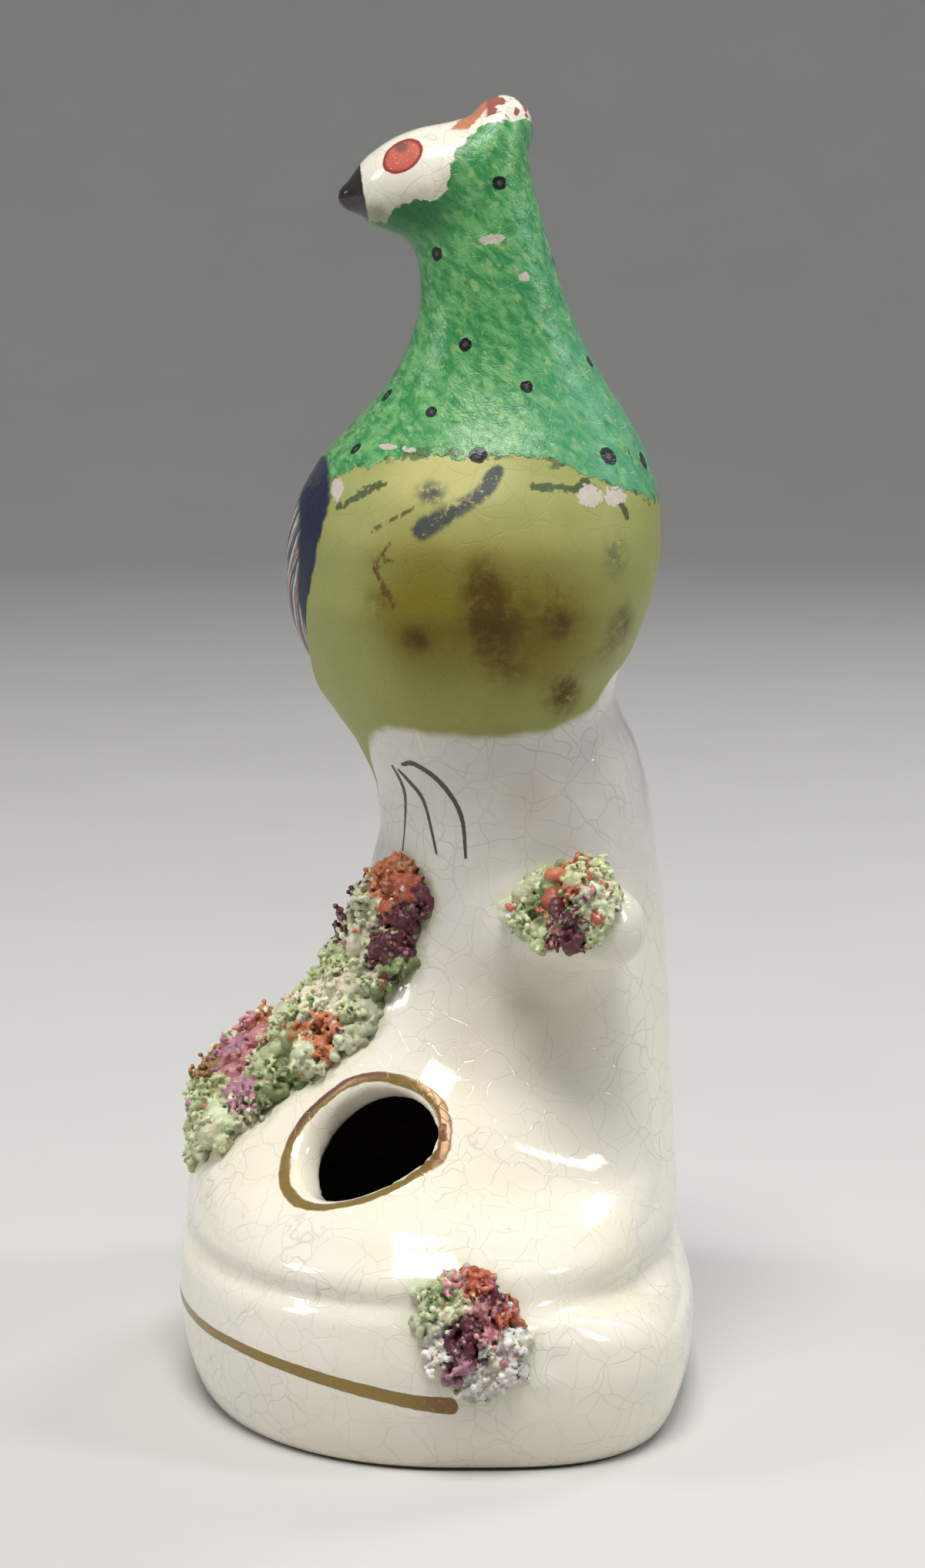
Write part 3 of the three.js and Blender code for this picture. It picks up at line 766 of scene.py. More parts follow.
# Worn places in the paint of the breast side: x, y, z, then half length along Y and half height
CHIPS = [
    (15.9, 6.3, 139.3, 1.2, 0.55), (16.3, 7.6, 139.5, 0.7, 0.28),
    (15.8, 10.3, 135.1, 0.6, 0.55), (24, 17.8, 110, 1.5, 1.2), (22, 21, 109.8, 1.1, 1.1),
    (18.3, -5.5, 115.4, 1.3, 0.32), (19, -2.9, 115.1, 0.7, 0.4), (17.6, -11.6, 110.3, 0.9, 1.2),
]
CHIP_DEPTH = 3.0

# Strokes on the trunk, which stand for the bird's claws, with their half width
CLAWS = [
    ([(10.7, -5.3, 76.6), (10.9, -4.2, 74.5), (10.7, -3.9, 72.3), (9.8, -4.2, 66.2)], 0.36),
    ([(11.5, -4.6, 76.3), (12.3, -3.2, 74.9), (13.3, -1.6, 72.7), (14.2, 0, 66.6)], 0.33),
    ([(12.5, -4.1, 77.1), (14, -2.7, 77.4), (15.3, 0.3, 75.5), (16, 2.9, 71.5), (16.1, 3.5, 66.4)], 0.36),
]
SCRATCHES = [
    [(24.1, -7.4, 105.9), (25.5, -2.1, 108.8)],
    [(25.9, -5, 104.9), (25, -7, 102.2), (26.4, -5, 102.6)],
    [(24.8, -7.3, 102.1), (25.9, -5.5, 99), (26.4, -4.6, 97.1)],
    [(25.2, -7, 99.3), (25.9, -5.6, 98.6)],
]
DASHES = [
    [(18.8, -11.5, 108.5), (19.6, -10.6, 108.7)],
    [(20, -10.2, 109.1), (21.2, -8.4, 109.9)],
    [(21.2, -8, 110.2), (22, -6, 111.3)],
    [(20.6, -9.4, 110.6), (21.6, -7.6, 111.2)],
    [(25, 11.2, 111.2), (24.9, 13.3, 110.9)],
    [(24.7, 14.2, 111), (24.4, 16, 110.7), (23.2, 17.5, 111.7)],
    [(22.4, 21.6, 109.2), (22, 22.2, 107.6)],
    [(23.4, 18.8, 108), (23.4, 19, 107.2)],
]
# Thick runs of glaze beside the plinth's moss, with their height
GLAZE_RUNS = [
    ([(47.6, 9.6, 18.6), (45.8, 11.8, 17.5), (44.9, 13.6, 17.3), (42.5, 18, 17.6)], 0.5),
    ([(47.4, 10.9, 15.8), (45.9, 13.4, 15.4), (44.2, 16.5, 14.6)], 0.25),
    ([(47.2, 9.6, 10.6), (46.4, 12.9, 11.2)], 0.3),
]
# Soft stains in the yellow, and painted light on the top of the breast: a place, its reach along each axis
# and its strength
STAINS = {
    # Painted light: lighter yellow where the light from above falls on the top of the breast
    "lit_breast_top": [
        ((24, 2, 112.5), (9, 8, 4.5), 1),
        ((24, -4, 111), (8, 6, 5), 0.2),
    ],
    "olive": [
        ((27, 4, 97), (12, 15, 12), 0.8),
        ((25, 14, 92), (9, 7, 9), 0.4),
        ((25, -3, 96), (9, 5, 9), 0.35),
    ],
    "brown": [
        ((28.6, 5.2, 99.5), (8, 2.6, 5), 0.75),
        ((28.6, 6.6, 94.5), (8, 3.2, 5.2), 0.75),
        ((26.5, 9, 89), (8, 3.4, 3), 0.45),
        ((27.9, 13.2, 97), (8, 5, 5), 0.55),
        ((27.4, 14.4, 95.2), (8, 1.6, 1.6), 0.45),
        ((25.8, -2.2, 93.6), (8, 2.6, 2.4), 0.6),
        ((20.2, 15.2, 86.6), (8, 2, 2.6), 0.6),
        ((25, 22, 94), (8, 1.6, 4), 0.35),
        ((23, -6.5, 97.5), (8, 2.4, 3.4), 0.3),
        ((24.5, -7, 103), (8, 3.5, 2), 0.25),
        ((25, -6.4, 98), (8, 3.2, 1.4), 0.3),
        ((26.2, -2.2, 93.5), (8, 1.2, 1.6), 0.45),
        ((20.6, 19.5, 91), (8, 3, 3), 0.4),
        ((21, 21.8, 95), (8, 2, 3), 0.45),
        ((19.6, 14.6, 86), (8, 2.6, 3), 0.45),
        ((22, 6, 84.5), (8, 4, 1.6), 0.25),
    ],
    "blue": [
        ((25.2, -0.6, 110.4), (6, 2, 1.6), 0.75),
        ((24, 20.8, 103), (6, 2.2, 3.4), 0.45),
    ],
}
SMUDGE = [(26.6, -1.4, 106.2), (26, 2, 107.8), (25.2, 5.4, 110.2), (24.3, 7, 113)]
WING_HALF_LENGTH = 24.6
WING_HALF_WIDTH = 11.6
WING_EDGE_SCALE = 11
WING_BACK_Y = -4.5
GLAZE_RUN_WIDTH = 0.75
# Groove over the plinth, pressed into the solid's softer hollow: by Y, its height and its depth
GROOVE = [
    (-33, 19.8, 0.5), (-26, 19.1, 0.9), (-14, 19.5, 1.15), (-4, 19.6, 0.9), (3, 19.4, 0.5),
    (14, 19.2, 0.35), (22, 18.7, 0.7), (33, 18.4, 0.9),
]
GROOVE_HALF_WIDTH = 1.35
GOLD_LINE = [(-40, 11.4), (-24, 11.5), (-18, 11.1), (-12.7, 10.4), (-7.4, 9.6), (-2, 8.7), (2.6, 8.3)]
GOLD_END_Y = 2.6


def hole_place(points):
    """Distance of points from the pen hole's axis, and how far out they are along it."""
    axis = np.array(PEN_HOLE_AXIS) / np.linalg.norm(PEN_HOLE_AXIS)
    from_centre = points - np.array(PEN_HOLE_CENTRE)
    out = from_centre @ axis
    return np.linalg.norm(from_centre - out[:, None] * axis, axis=1), out


def keep_nearest(piece, name, p, spots, reach):
    """Keep the offset from the nearest of some spots, in units of its reach, and how near it is."""
    offset = (p[:, None] - spots[None]) / reach[None]
    size = np.linalg.norm(offset, axis=2)
    keep_value(piece, name, offset[np.arange(len(p)), size.argmin(1)])
    keep_value(piece, f"{name}_near", size.min(1))


def keep_colour_bounds(piece, p):
    """How deep a vertex is in the clay, how far inside each colour, and how the glaze pools there."""
    x, y, z = p.T
    glaze = glaze_field(x, y, z)
    turn = np.degrees(np.arctan2(y - BIRD_MIDDLE[1], x - BIRD_MIDDLE[0]))
    green_floor = np.interp(turn, *zip(*GREEN_FLOOR))
    yellow_floor = np.interp(turn, *zip(*YELLOW_FLOOR))
    keep_value(piece, "inward", -glaze)
    keep_value(piece, "green", z - green_floor)
    keep_value(piece, "yellow", np.minimum(z - yellow_floor, green_floor + YELLOW_UNDER_GREEN - z))
    keep_value(piece, "face", inside_outline(y, z, FACE))
    ahead = p + POOLING_REACH * unit(slope_of(glaze_field, p, 1.5))
    keep_value(piece, "pooled", 1 - (glaze_field(*ahead.T) - glaze) / POOLING_REACH)


def keep_marks(piece, p):
    for k, (path, half) in enumerate(CLAWS):
        offset, _, share = along_path(p, path)
        taper = half * (0.55 + 0.45 * np.sin(np.pi * np.clip(share * 0.9 + 0.12, 0, 1)))
        keep_value(piece, f"claw_{k}", offset / taper[:, None])
    dots = np.array(DOTS)
    spots = onto_surface(glaze_field, dots[:, :3], 4)
    keep_nearest(piece, "dot", p, spots, np.repeat(dots[:, 3:], 3, 1))
    chips = np.array(CHIPS)
    keep_nearest(piece, "chip", p, chips[:, :3], np.insert(chips[:, 3:], 0, CHIP_DEPTH, 1))
    for name, paths in (("scratch", SCRATCHES), ("dash", DASHES)):
        keep_value(piece, name, np.min([along_path(p, path)[1] for path in paths], axis=0))
    _, away, share = along_path(p, SMUDGE)
    keep_value(piece, "smudge", away / (1.5 - 0.5 * share))
    for name, spots in STAINS.items():
        keep_value(piece, name, glow(p, spots))


def keep_gilding(piece, p):
    y, z = p[:, 1], p[:, 2]
    away, out = hole_place(p)
    keep_value(piece, "rim", np.where(out > -12, away - PEN_HOLE_RADIUS, 9))
    line_z = np.interp(y, *zip(*GOLD_LINE))
    half = np.interp(y, [-24, -4, GOLD_END_Y], [0.62, 0.85, 1.05])
    past_end = np.maximum(y - GOLD_END_Y + 1, 0)
    keep_value(piece, "gold_line", np.stack([(z - line_z) / half, past_end / half, 0 * y], 1))
    keep_value(piece, "gold_share", np.clip((y + 4) / 5, 0, 1))


def keep_wing(piece, p):
    """Place along and up the wing, and how far inside its edge a vertex is."""
    centre, _, _, dip = WING
    c, s = math.cos(math.radians(dip)), math.sin(math.radians(dip))
    from_wing = p - np.array(centre)
    along = from_wing @ np.array([c, 0, s])
    up = from_wing @ np.array([-s, 0, c])
    edge = (1 - np.hypot(along / WING_HALF_LENGTH, up / WING_HALF_WIDTH)) * WING_EDGE_SCALE
    in_front = (WING_BACK_Y - p[:, 1]) * 2
    keep_value(piece, "wing", np.stack([along, up, np.minimum(edge, in_front)], 1))


def keep_near_moss(piece, p, beads):
    """Distance from the nearest bead, where moss may be near."""
    tree = KDTree(len(beads))
    for k, bead in enumerate(beads):
        tree.insert(bead, k)
    tree.balance()
    x, y, z = p.T
    near_moss = np.full(len(p), 9.0)
    close = np.flatnonzero((x > -16) & (y < 26) & (z < 70) & (glaze_field(x, y, z) > -1.5))
    near_moss[close] = [tree.find(p[k])[2] for k in close]
    keep_value(piece, "near_moss", near_moss)


HEAD_MIDDLE_X = 8
EYE_CENTRE = (0, -3.9, 149.0)
EYE_TILT = math.radians(35)
EYE_LONG = 2.6
EYE_SHORT = 1.75
PUPIL_CENTRE = (0, -4.1, 150.15)
THROAT = (0, -7.6, 141.3)
# Middle of the painted shadow below the branch stub
SHADOW_UNDER_BRANCH = (19.5, 8.5, 46)
WARM_SPOT = (17.3, 11.0, 73.5)
# Size of the craze cells and width of the lines between them
CRAZES = ((4.2, 0.045), (8, 0.06))


class FigureLook(Look):
    """Glaze and enamel of the figure, with the noises and places that its paints share."""

    def __init__(self):
        super().__init__("cream_glaze_and_enamel")
        self.fine = self.noise(0.35, detail=3)
        self.small = self.noise(1.3, detail=3)
        self.middle = self.noise(4, detail=3)
        self.large = self.noise(22, detail=2)
        self.x, self.y, self.z = self.parts(self.place)
        self.flat = self.joined(0.0, self.y, self.z)
        self.face = self.value("face") + (self.wander(1.0, 1.3) + self.wander(3.5, 1.4))

    def near(self, spot, far, close):
        """0 beyond the far distance from a spot, 1 within the close one."""
        return self.step(self.vector("DISTANCE", self.place, spot), far, close)


def cream_glaze(look):
    """Glaze over pale clay: creamier in patches and where it pools, tinted in places, with painted shade
    greyer up the trunk and brownish below the branch.
    """
    mix, step = look.mix, look.step
    colour = mix(step(look.large, 0.3, 0.7), (0.80, 0.75, 0.61), (0.80, 0.76, 0.68))
    # Greyer up the trunk towards the bird's belly: painted shade under the overhang
    shade_up_trunk = step(look.z + look.wander(22, 24), 36, 72)
    colour = mix(shade_up_trunk, colour, (0.63, 0.60, 0.57))
    milky = step(look.middle, 0.45, 0.75)
    colour = mix(milky * 0.3, colour, (0.81, 0.76, 0.66))
    pooled = step(look.value("pooled"), 0.06, 0.6)
    colour = mix(pooled * 0.75, colour, (0.58, 0.55, 0.38))
    by_moss = step(look.value("near_moss") + look.wander(3, 2.2), 2.6, 0.4)
    moss_tint = mix(look.middle, (0.52, 0.58, 0.36), (0.66, 0.62, 0.46))
    colour = mix(by_moss * 0.55, colour, moss_tint)
    on_head = step(look.z, 139, 141)
    colour = mix(on_head, colour, (0.74, 0.71, 0.60))
    colour = mix(look.near(WARM_SPOT, 4.5, 1) * 0.28, colour, (0.48, 0.38, 0.27))
    # Brownish grey below the branch stub: painted shadow of the branch
    colour = mix(look.near(SHADOW_UNDER_BRANCH, 15, 3) * 0.42, colour, (0.42, 0.37, 0.28))
    specks = step(look.noise(0.8, detail=1), 0.80, 0.86)
    return mix(specks * 0.5, colour, (0.30, 0.20, 0.12))


def craze_lines(look):
    """Craze lines, bent a little."""
    bend = look.node("TexNoise")
    look.feed(bend.inputs["Vector"], look.place)
    bend.inputs["Scale"].default_value = 0.25
    bend.inputs["Detail"].default_value = 1.0
    bent = look.vector("ADD", look.place, look.vector("SCALE", bend.outputs["Color"], scale=3.0))
    lines = []
    for size, width in CRAZES:
        cells = look.node("TexVoronoi", feature="DISTANCE_TO_EDGE")
        look.feed(cells.inputs["Vector"], bent)
        cells.inputs["Scale"].default_value = 1 / size
        lines.append(look.step(cells.outputs["Distance"], width / size * 1.5, 0.2 * width / size))
    return look.calc("MAXIMUM", *lines)


def yellow_enamel(look):
    """Yellow of the breast and flanks, stained olive and brown, with painted light on its top: where it is,
    and its colour.
    """
    mix, step, noise, wander = look.mix, look.step, look.noise, look.wander
    share = step(look.value("yellow") + wander(3.0, 0.9), -0.5, 0.9)
    tone = mix(look.middle, (0.27, 0.285, 0.085), (0.33, 0.335, 0.12))
    # Lighter yellow on the top of the breast: painted light from above
    tone = mix(step(look.value("lit_breast_top"), 0.1, 0.95), tone, (0.44, 0.42, 0.165))
    olive = look.value("olive") * step(look.large, 0.0, 0.55)
    tone = mix(step(olive, 0.05, 1.0), tone, (0.185, 0.155, 0.016))
    brown = look.value("brown") * step(noise(2.2, detail=6, roughness=0.75), 0.12, 0.62)
    tone = mix(step(brown, 0.05, 0.9), tone, (0.085, 0.050, 0.006))
    grain = step(noise(0.45, detail=2, roughness=0.7), 0.60, 0.78)
    grain = grain * step(look.value("olive"), 0.05, 0.9)
    tone = mix(grain * 0.5, tone, (0.09, 0.05, 0.015))
    blue = look.value("blue") + step(look.value("smudge"), 1.5, 0.3)
    blue = blue * step(noise(1.1, detail=4, roughness=0.7), 0.25, 0.55)
    tone = mix(step(blue, 0.1, 0.75) * 0.92, tone, (0.030, 0.038, 0.050))
    scratch = step(look.value("scratch") + wander(0.8, 0.5), 0.46, 0.24)
    scratch = scratch * step(look.small, 0.35, 0.5)
    tone = mix(scratch * 0.9, tone, (0.11, 0.050, 0.016))
    dash = step(look.value("dash") + wander(0.7, 1.0), 0.66, 0.4)
    return share, mix(dash * 0.88, tone, (0.035, 0.062, 0.028))


def green_enamel(look):
    """Dabbed green of the head, neck and back: where it is, its colour and its dabs."""
    mix, step, noise, wander = look.mix, look.step, look.noise, look.wander
    ragged = wander(2.6, 2.4) + wander(0.8, 2.2)
    share = step(look.value("green") + ragged, -0.12, 0.16) * step(look.face, 0.14, -0.14)
    # The brush ran from the upper left to the lower right
    stroke = look.joined(look.x, look.y + look.z, (look.y - look.z) * 0.5)
    dab = noise(1.9, detail=5, roughness=0.68, warp=0.3, place=stroke)
    tone = mix(step(dab, 0.38, 0.64), (0.034, 0.215, 0.065), (0.145, 0.37, 0.14))
    cooler = mix(dab, (0.03, 0.22, 0.10), (0.16, 0.42, 0.26))
    to_right = step(look.y + wander(6, 9), 6, 20)
    tone = mix(to_right * 0.7, tone, cooler)
    light = step(noise(1.6, detail=4, warp=0.3, place=stroke), 0.54, 0.70)
    tone = mix(light * 0.75, tone, (0.24, 0.43, 0.16))
    thin = step(noise(1.0, detail=3, roughness=0.7, place=stroke), 0.62, 0.72)
    tone = mix(thin * 0.5, tone, (0.40, 0.54, 0.36))
    dark = step(noise(1.5, detail=3, warp=0.3, place=stroke), 0.57, 0.70)
    tone = mix(dark * 0.55, tone, (0.012, 0.15, 0.05))
    # Darker green under the face: painted shade below the head
    shade_under_face = step(look.value("face"), -7, -0.8) * step(look.y, 5, -1.5)
    return share, mix(shade_under_face * 0.85, tone, (0.008, 0.11, 0.035)), dab


def shade_under_chin(look, colour):
    """Painted shade, a dirty brownish olive, along the lower edge of the white face and on the throat under
    the chin.
    """
    edge = look.step(look.face, 2.2, 0.1) * look.step(abs(look.z - 142.5), 6, 3.5)
    colour = look.mix(edge * 0.55, colour, (0.36, 0.33, 0.20))
    throat = look.vector("DISTANCE", look.flat, THROAT) + look.wander(1.2, 1.6)
    return look.mix(look.step(throat, 3.4, 1.2) * 0.75, colour, (0.13, 0.14, 0.07))


def green_edge(look, colour):
    """Dark dashes where the green ends on the breast."""
    band = look.step(abs(look.value("green") + look.wander(3, 2.4)), 0.75, 0.35)
    band = band * look.step(look.noise(1.7, detail=2), 0.50, 0.60) * 0.75
    band = band * look.step(look.x, 8, 12) * look.step(look.face, 0, -1)
    return look.mix(band, colour, (0.045, 0.085, 0.030))


def small_marks(look, colour):
    """Worn places, dots and claws: the colour over them, and how thick the dots and claws are."""
    mix, step, wander = look.mix, look.step, look.wander
    chip = look.vector("LENGTH", look.offset("chip")) + (wander(1.3, 1.2) + wander(0.5, 1.0))
    chip_share = step(chip, 1.1, 0.9) * step(look.value("chip_near"), 3, 2)
    colour = mix(chip_share, colour, mix(look.small, (0.40, 0.34, 0.29), (0.58, 0.53, 0.47)))
    dot = look.vector("LENGTH", look.offset("dot")) + wander(0.6, 0.5)
    dot_share = step(dot, 1.08, 0.92) * step(look.value("dot_near"), 3.5, 3)
    thin_middle = step(dot, 0.45, 0.25) * 0.45
    colour = mix(dot_share, colour, mix(thin_middle, (0.010, 0.012, 0.012), (0.12, 0.13, 0.12)))
    claws = [look.vector("LENGTH", look.offset(f"claw_{k}")) for k in range(len(CLAWS))]
    nearest = claws[0]
    for claw in claws[1:]:
        nearest = look.calc("MINIMUM", nearest, claw)
    claw_share = step(nearest + wander(0.5, 0.35), 1.12, 0.88)
    claw_colour = mix(look.small, (0.035, 0.045, 0.022), (0.075, 0.055, 0.060))
    return mix(claw_share, colour, claw_colour), look.calc("MAXIMUM", dot_share, claw_share)


def wing_paint(look, colour):
    """Wing: navy along its front edge, then feather strokes in brown, blue, orange and pale grey."""
    mix, step = look.mix, look.step
    along, up, inside = look.parts(look.offset("wing"))
    edge = inside + look.wander(2.2, 0.9)
    fan = up * 0.42 + along * -0.045 + look.wander(4, 0.35)
    stripe = look.calc("FRACT", fan + 10.3)
    feather = mix(step(stripe, 0.30, 0.36), (0.05, 0.09, 0.16), (0.33, 0.14, 0.06))
    feather = mix(step(stripe, 0.60, 0.66), feather, (0.42, 0.46, 0.46))
    line = abs(look.calc("FRACT", stripe * 3) - 0.5)
    feather = mix(step(line, 0.36, 0.46), feather, (0.05, 0.028, 0.018))
    streak_place = look.vector("MULTIPLY", look.offset("wing"), (0.12, 1.6, 0.12))
    streak = look.noise(1, detail=3, place=streak_place)
    feather = mix(step(streak, 0.52, 0.72) * 0.55, feather, (0.66, 0.66, 0.60))
    navy = mix(look.small, (0.008, 0.010, 0.032), (0.024, 0.032, 0.070))
    feather = mix(step(edge, 4.4, 3.2) * step(along, 6, 9), feather, navy)
    return mix(step(edge, -0.1, 0.35), colour, feather)


def head_paint(look, colour):
    """Red eye in a dark ring, black beak and the crest's strokes."""
    mix, step, wander = look.mix, look.step, look.wander
    from_eye = look.vector("SUBTRACT", look.flat, EYE_CENTRE)
    c, s = math.cos(EYE_TILT), math.sin(EYE_TILT)
    long_axis = look.vector("DOT_PRODUCT", from_eye, (0, c, s))
    short_axis = look.vector("DOT_PRODUCT", from_eye, (0, -s, c))
    eye = look.vector("LENGTH", look.joined(long_axis / EYE_LONG, short_axis / EYE_SHORT, 0.0))
    eye = eye + wander(0.9, 0.12)
    on_side = step(abs(look.x - HEAD_MIDDLE_X), 2.0, 2.6)
    iris = mix(look.small, (0.43, 0.085, 0.065), (0.55, 0.155, 0.115))
    iris = mix(step(look.fine, 0.60, 0.72), iris, (0.75, 0.42, 0.30))
    pupil = step(look.vector("DISTANCE", look.flat, PUPIL_CENTRE), 1.1, 0.35)
    iris = mix(pupil * 0.75, iris, (0.10, 0.075, 0.07))
    iris = mix(step(eye, 0.72, 0.95), iris, (0.25, 0.03, 0.03))
    colour = mix(step(eye, 1.04, 0.97) * on_side, colour, iris)

    beak_line = look.y + (147.3 - look.z) * -0.15 + wander(0.8, 0.3)
    beak_share = step(beak_line, -8.75, -8.95) * step(look.z, 141.4, 141.7)
    colour = mix(beak_share, colour, mix(look.small, (0.012, 0.010, 0.010), (0.035, 0.028, 0.022)))

    crest = abs(look.y * -1.15 + look.z - 148.9) + wander(0.9, 0.7)
    crest_share = step(look.z, 151.9, 152.3) * step(crest, 1.35, 1.05)
    colour = mix(crest_share, colour, mix(look.small, (0.42, 0.13, 0.06), (0.56, 0.25, 0.14)))
    dabs = step(look.noise(1.5, detail=1, warp=0.4), 0.52, 0.57)
    behind_crest = step(look.face, 0.1, 0.4) * step(look.y, 5.6, 6.2)
    return mix(dabs * behind_crest, colour, (0.30, 0.09, 0.07))


def gilding(look):
    """Gold round the pen hole and along the plinth: where it is, where it isn't worn, and its colour."""
    mix, step, wander = look.mix, look.step, look.wander
    rim = look.value("rim") + (wander(7, 1.1) + wander(1.5, 0.35))
    ring = step(rim, 0.7, 0.9) * step(rim, 2.15, 1.9) * step(look.value("inward"), 1.2, 0.6)
    line = look.vector("LENGTH", look.offset("gold_line")) + wander(1.6, 0.28)
    line = step(line, 1.08, 0.92) * step(look.z, 15, 14)
    unworn = step(look.noise(1.0, detail=3, roughness=0.7), 0.24, 0.42)
    gold = mix(look.middle, (0.22, 0.15, 0.035), (0.30, 0.20, 0.06))
    gold = mix(look.value("gold_share") * 0.75, gold, (0.19, 0.075, 0.028))
    gold = mix(1 - unworn, gold, (0.30, 0.23, 0.09))
    upper_left = step(look.z, 31, 36) * step(look.y, -3, -10)
    purple = step(rim, 1.1, 1.5) * upper_left * ring
    gold = mix(purple, gold, (0.17, 0.065, 0.055))
    return look.calc("MAXIMUM", ring, line), unworn, gold


def glaze_look():
    look = FigureLook()
    mix, step, blend = look.mix, look.step, look.blend
    shader = look.shader.inputs
    small, middle = look.small, look.middle

    craze = craze_lines(look)
    crazed = craze * step(look.noise(12, detail=1), 0.3, 0.62)
    colour = mix(crazed * 0.30, cream_glaze(look), (0.33, 0.25, 0.18))
    yellow_share, yellow = yellow_enamel(look)
    # Painted shade along the face's lower edge and under the chin
    colour = shade_under_chin(look, mix(yellow_share, colour, yellow))
    green_share, green, dab = green_enamel(look)
    colour = green_edge(look, mix(green_share, colour, green))
    colour, mark_height = small_marks(look, colour)
    colour = head_paint(look, wing_paint(look, colour))
    gilt, unworn, gold = gilding(look)
    colour = mix(gilt, colour, gold)
    # Bare clay and dirt inside and under the foot
    bare = look.calc("MAXIMUM", step(look.value("inward"), 3.0, 3.9), step(look.z, 0.5, 0.25))
    clay = mix(middle, (0.16, 0.12, 0.085), (0.30, 0.24, 0.17))
    look.feed(shader["Base Color"], mix(bare, colour, clay))

    rough = blend(yellow_share, blend(middle, 0.06, 0.12), blend(small, 0.42, 0.58))
    rough = blend(green_share, rough, blend(small, 0.16, 0.3))
    look.feed(shader["Roughness"], blend(bare, blend(gilt, rough, 0.30), 0.8))
    look.feed(shader["Metallic"], gilt * unworn * 0.3)
    look.feed(shader["Specular IOR Level"], blend(green_share, blend(yellow_share, 0.5, 0.16), 0.28))
    shader["IOR"].default_value = 1.52

    paint_height = look.calc("MAXIMUM", mark_height, gilt)
    relief = None
    for height, depth in (
        (look.noise(9, detail=1), 0.30),
        (middle, 0.05),
        (craze, -0.02),
        (dab * green_share, 0.2),
        (paint_height, 0.04),
        (look.noise(0.7, detail=3) * bare, 0.25),
    ):
        relief = look.bump(height, depth, relief)
    look.feed(shader["Normal"], relief)
    return look.material


def moss_look():
    look = Look("stained_clay_shreds")
    level = look.value("level")
    fine = look.noise(0.5, detail=3)
    # Darker low in the heap: painted shade in the gaps between beads, with dirt
    colour = look.mix(look.step(level, 0.75, 0.05) * 0.42, look.offset("stain"), SHADED_GAP_BROWN)
    tips = look.step(level, 0.7, 1.0) * look.step(fine, 0.5, 0.75)
    colour = look.mix(tips * 0.6, colour, TIP_CREAM)
    look.feed(look.shader.inputs["Base Color"], colour)
    look.feed(look.shader.inputs["Roughness"], look.blend(fine, 0.28, 0.55))
    look.shader.inputs["IOR"].default_value = 1.5
    look.feed(look.shader.inputs["Normal"], look.bump(look.noise(0.4, detail=3), 0.12))
    return look.material


def finished_surface(points):
    """The figure's surface with the thick runs of glaze raised and the groove pressed in."""
    outward = unit(slope_of(clay_field, points))
    for path, height in GLAZE_RUNS:
        _, away, _ = along_path(points, path)
        points = points + outward * (height * np.exp(-((away / GLAZE_RUN_WIDTH) ** 2)))[:, None]
    groove_y, groove_z, groove_depth = zip(*GROOVE)
    x, y, z = points.T
    from_groove = (z - np.interp(y, groove_y, groove_z)) / GROOVE_HALF_WIDTH
    pressed = np.interp(y, groove_y, groove_depth) * np.exp(-(from_groove**2))
    on_outside = glaze_field(x, y, z) > -1
    return points - outward * (pressed * on_outside)[:, None]


points, quads = surface_net(clay_field, (-49, -35, -1.5), (49, 34, 158), SURFACE_STEP)
points = finished_surface(onto_surface(clay_field, points))
figure = mesh_object("glazed_bird_figure", points, quads, glaze_look())
pieces = [(figure, "bird_figure", "glazed_earthenware")]
moss = moss_look()
heaps = []
for name, stations, patches, cover, seed in (
    ("moss_front_slope", MOSS_FRONT, PATCHES_FRONT, None, 11),
    ("moss_branch", MOSS_BRANCH, PATCHES_BRANCH, COVER_BRANCH, 12),
    ("moss_plinth_end", MOSS_PLINTH, PATCHES_PLINTH, None, 13),
):
    cluster, beads = moss_piece(f"shredded_{name}", stations, patches, cover, moss, seed)
    pieces.append((cluster, name, "clay_moss"))
    heaps.append(beads)
keep_colour_bounds(figure, points)
keep_marks(figure, points)
keep_gilding(figure, points)
keep_wing(figure, points)
keep_near_moss(figure, points, np.concatenate(heaps))
for piece, node, slot in pieces:
    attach(piece, "root")
    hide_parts(node)

FLOOR_Z = -0.05
FLOOR_RADIUS = 1300
WALL_CURVE = 900
WALL_TOP = 1500
ROUND_SIDES = 96


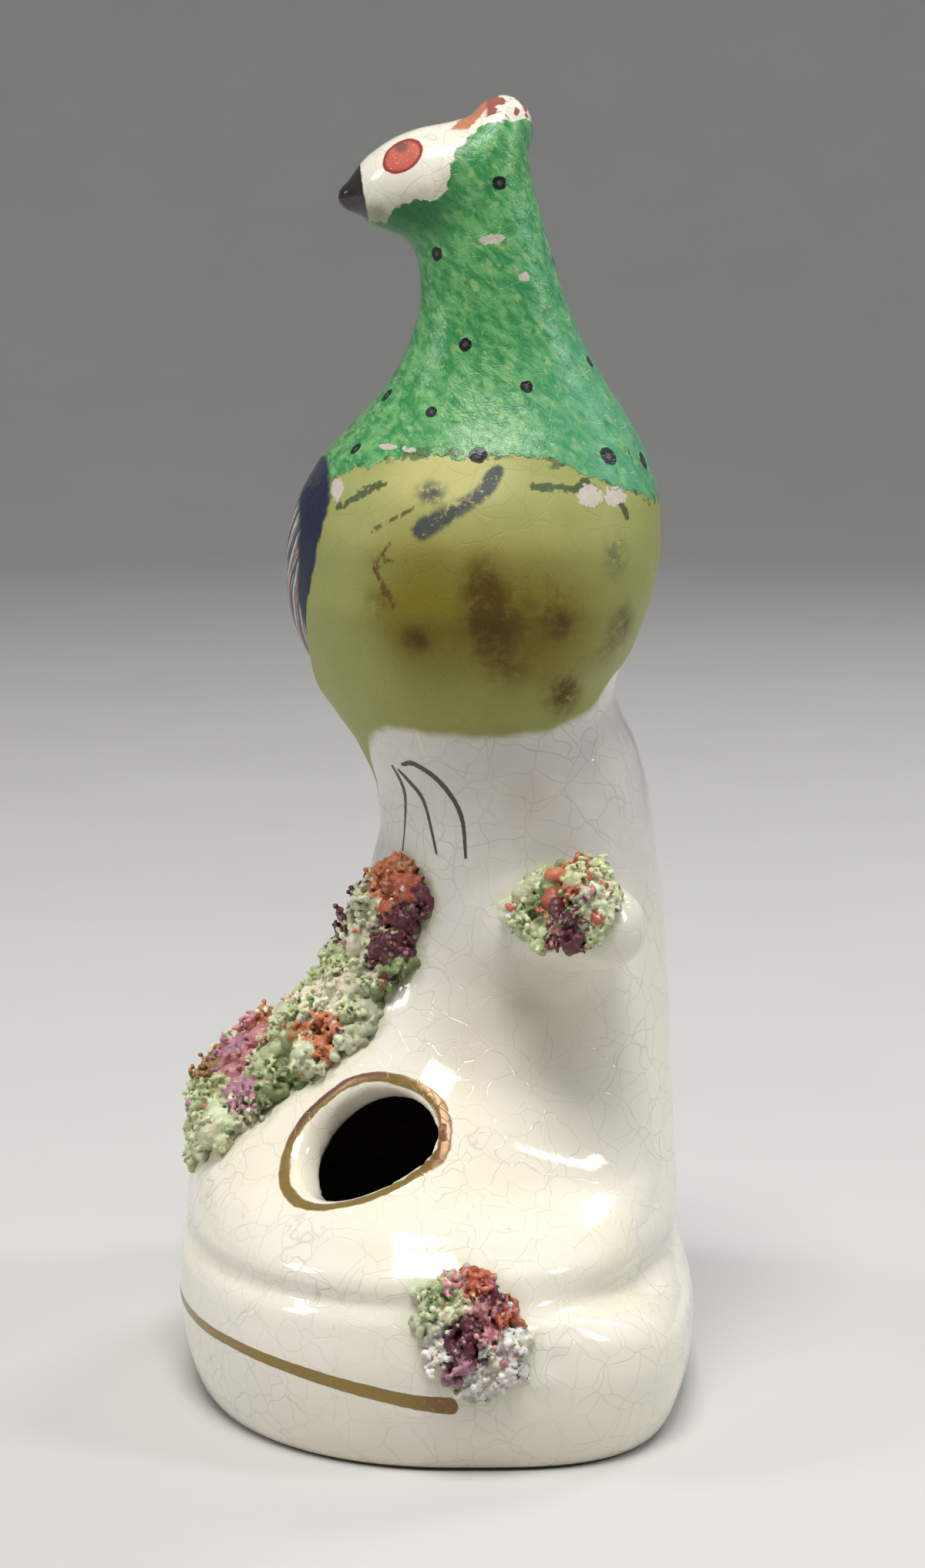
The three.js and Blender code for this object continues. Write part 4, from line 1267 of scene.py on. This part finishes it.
def pale_floor():
    """Plain pale floor that curves up into a low wall all round."""
    look = Look("pale_floor")
    colour = look.mix(look.noise(60, detail=3), (0.52, 0.515, 0.50), (0.56, 0.555, 0.54))
    look.feed(look.shader.inputs["Base Color"], colour)
    look.shader.inputs["Roughness"].default_value = 0.8
    profile = [(r, FLOOR_Z) for r in (60, 200, 500, 900, FLOOR_RADIUS)]
    for a in np.linspace(0.05, math.pi / 2, 16):
        profile.append((FLOOR_RADIUS + WALL_CURVE * math.sin(a), WALL_CURVE * (1 - math.cos(a))))
    profile.append((FLOOR_RADIUS + WALL_CURVE, WALL_TOP))
    around = np.linspace(0, 2 * math.pi, ROUND_SIDES, endpoint=False)
    points = [(r * math.cos(a), r * math.sin(a), z) for r, z in profile for a in around]
    points.append((0, 0, FLOOR_Z))
    faces = [[len(points) - 1, k, (k + 1) % ROUND_SIDES] for k in range(ROUND_SIDES)]
    for ring in range(len(profile) - 1):
        for k in range(ROUND_SIDES):
            a, b = ring * ROUND_SIDES + k, ring * ROUND_SIDES + (k + 1) % ROUND_SIDES
            faces.append([a, a + ROUND_SIDES, b + ROUND_SIDES, b])
    return mesh_object("floor", np.array(points), faces, look.material)


floor = pale_floor()

# Studio light and camera, in metres
LIGHT_AIM = (0, 0, 0.08)
WORLD_COLOUR = (0.93, 0.95, 1.0, 1)
WORLD_STRENGTH = 0.24
CAMERA_PLACE = (0.4456, 0.0031, 0.1356)
CAMERA_AIM = (0, 0.0031, 0.073)
SENSOR_HEIGHT_MM = 36
LENS_MM = 83.68

world = bpy.data.worlds.new("studio")
bpy.context.scene.world = world
world.use_nodes = True
world.node_tree.nodes["Background"].inputs["Color"].default_value = WORLD_COLOUR
world.node_tree.nodes["Background"].inputs["Strength"].default_value = WORLD_STRENGTH


def turned_to(aim, place):
    return (Vector(aim) - Vector(place)).to_track_quat("-Z", "Y").to_euler()


def area_light(name, place, size, power, colour=(1, 1, 1)):
    data = bpy.data.lights.new(name, "AREA")
    data.shape = "RECTANGLE"
    data.size, data.size_y = size
    data.energy = power
    data.color = colour
    lamp = bpy.data.objects.new(name, data)
    bpy.context.collection.objects.link(lamp)
    lamp.location = place
    lamp.rotation_euler = turned_to(LIGHT_AIM, place)


area_light("key", (0.38, -0.04, 1.05), (0.42, 0.42), 11, (1, 0.98, 0.94))
area_light("window", (0.2, 0.73, 0.54), (0.12, 0.2), 2.2, (0.92, 0.96, 1))
area_light("side", (0.1, -0.85, 0.5), (0.22, 0.3), 2.6)
area_light("back", (-0.62, 0.52, 0.75), (0.3, 0.16), 2.6)

camera_data = bpy.data.cameras.new("camera")
camera_data.sensor_fit = "VERTICAL"
camera_data.sensor_height = SENSOR_HEIGHT_MM
camera_data.lens = LENS_MM
camera_data.clip_start = 0.01
camera = bpy.data.objects.new("camera", camera_data)
bpy.context.collection.objects.link(camera)
camera.location = CAMERA_PLACE
camera.rotation_euler = turned_to(CAMERA_AIM, CAMERA_PLACE)
bpy.context.scene.camera = camera
bpy.context.scene.view_settings.view_transform = "Standard"
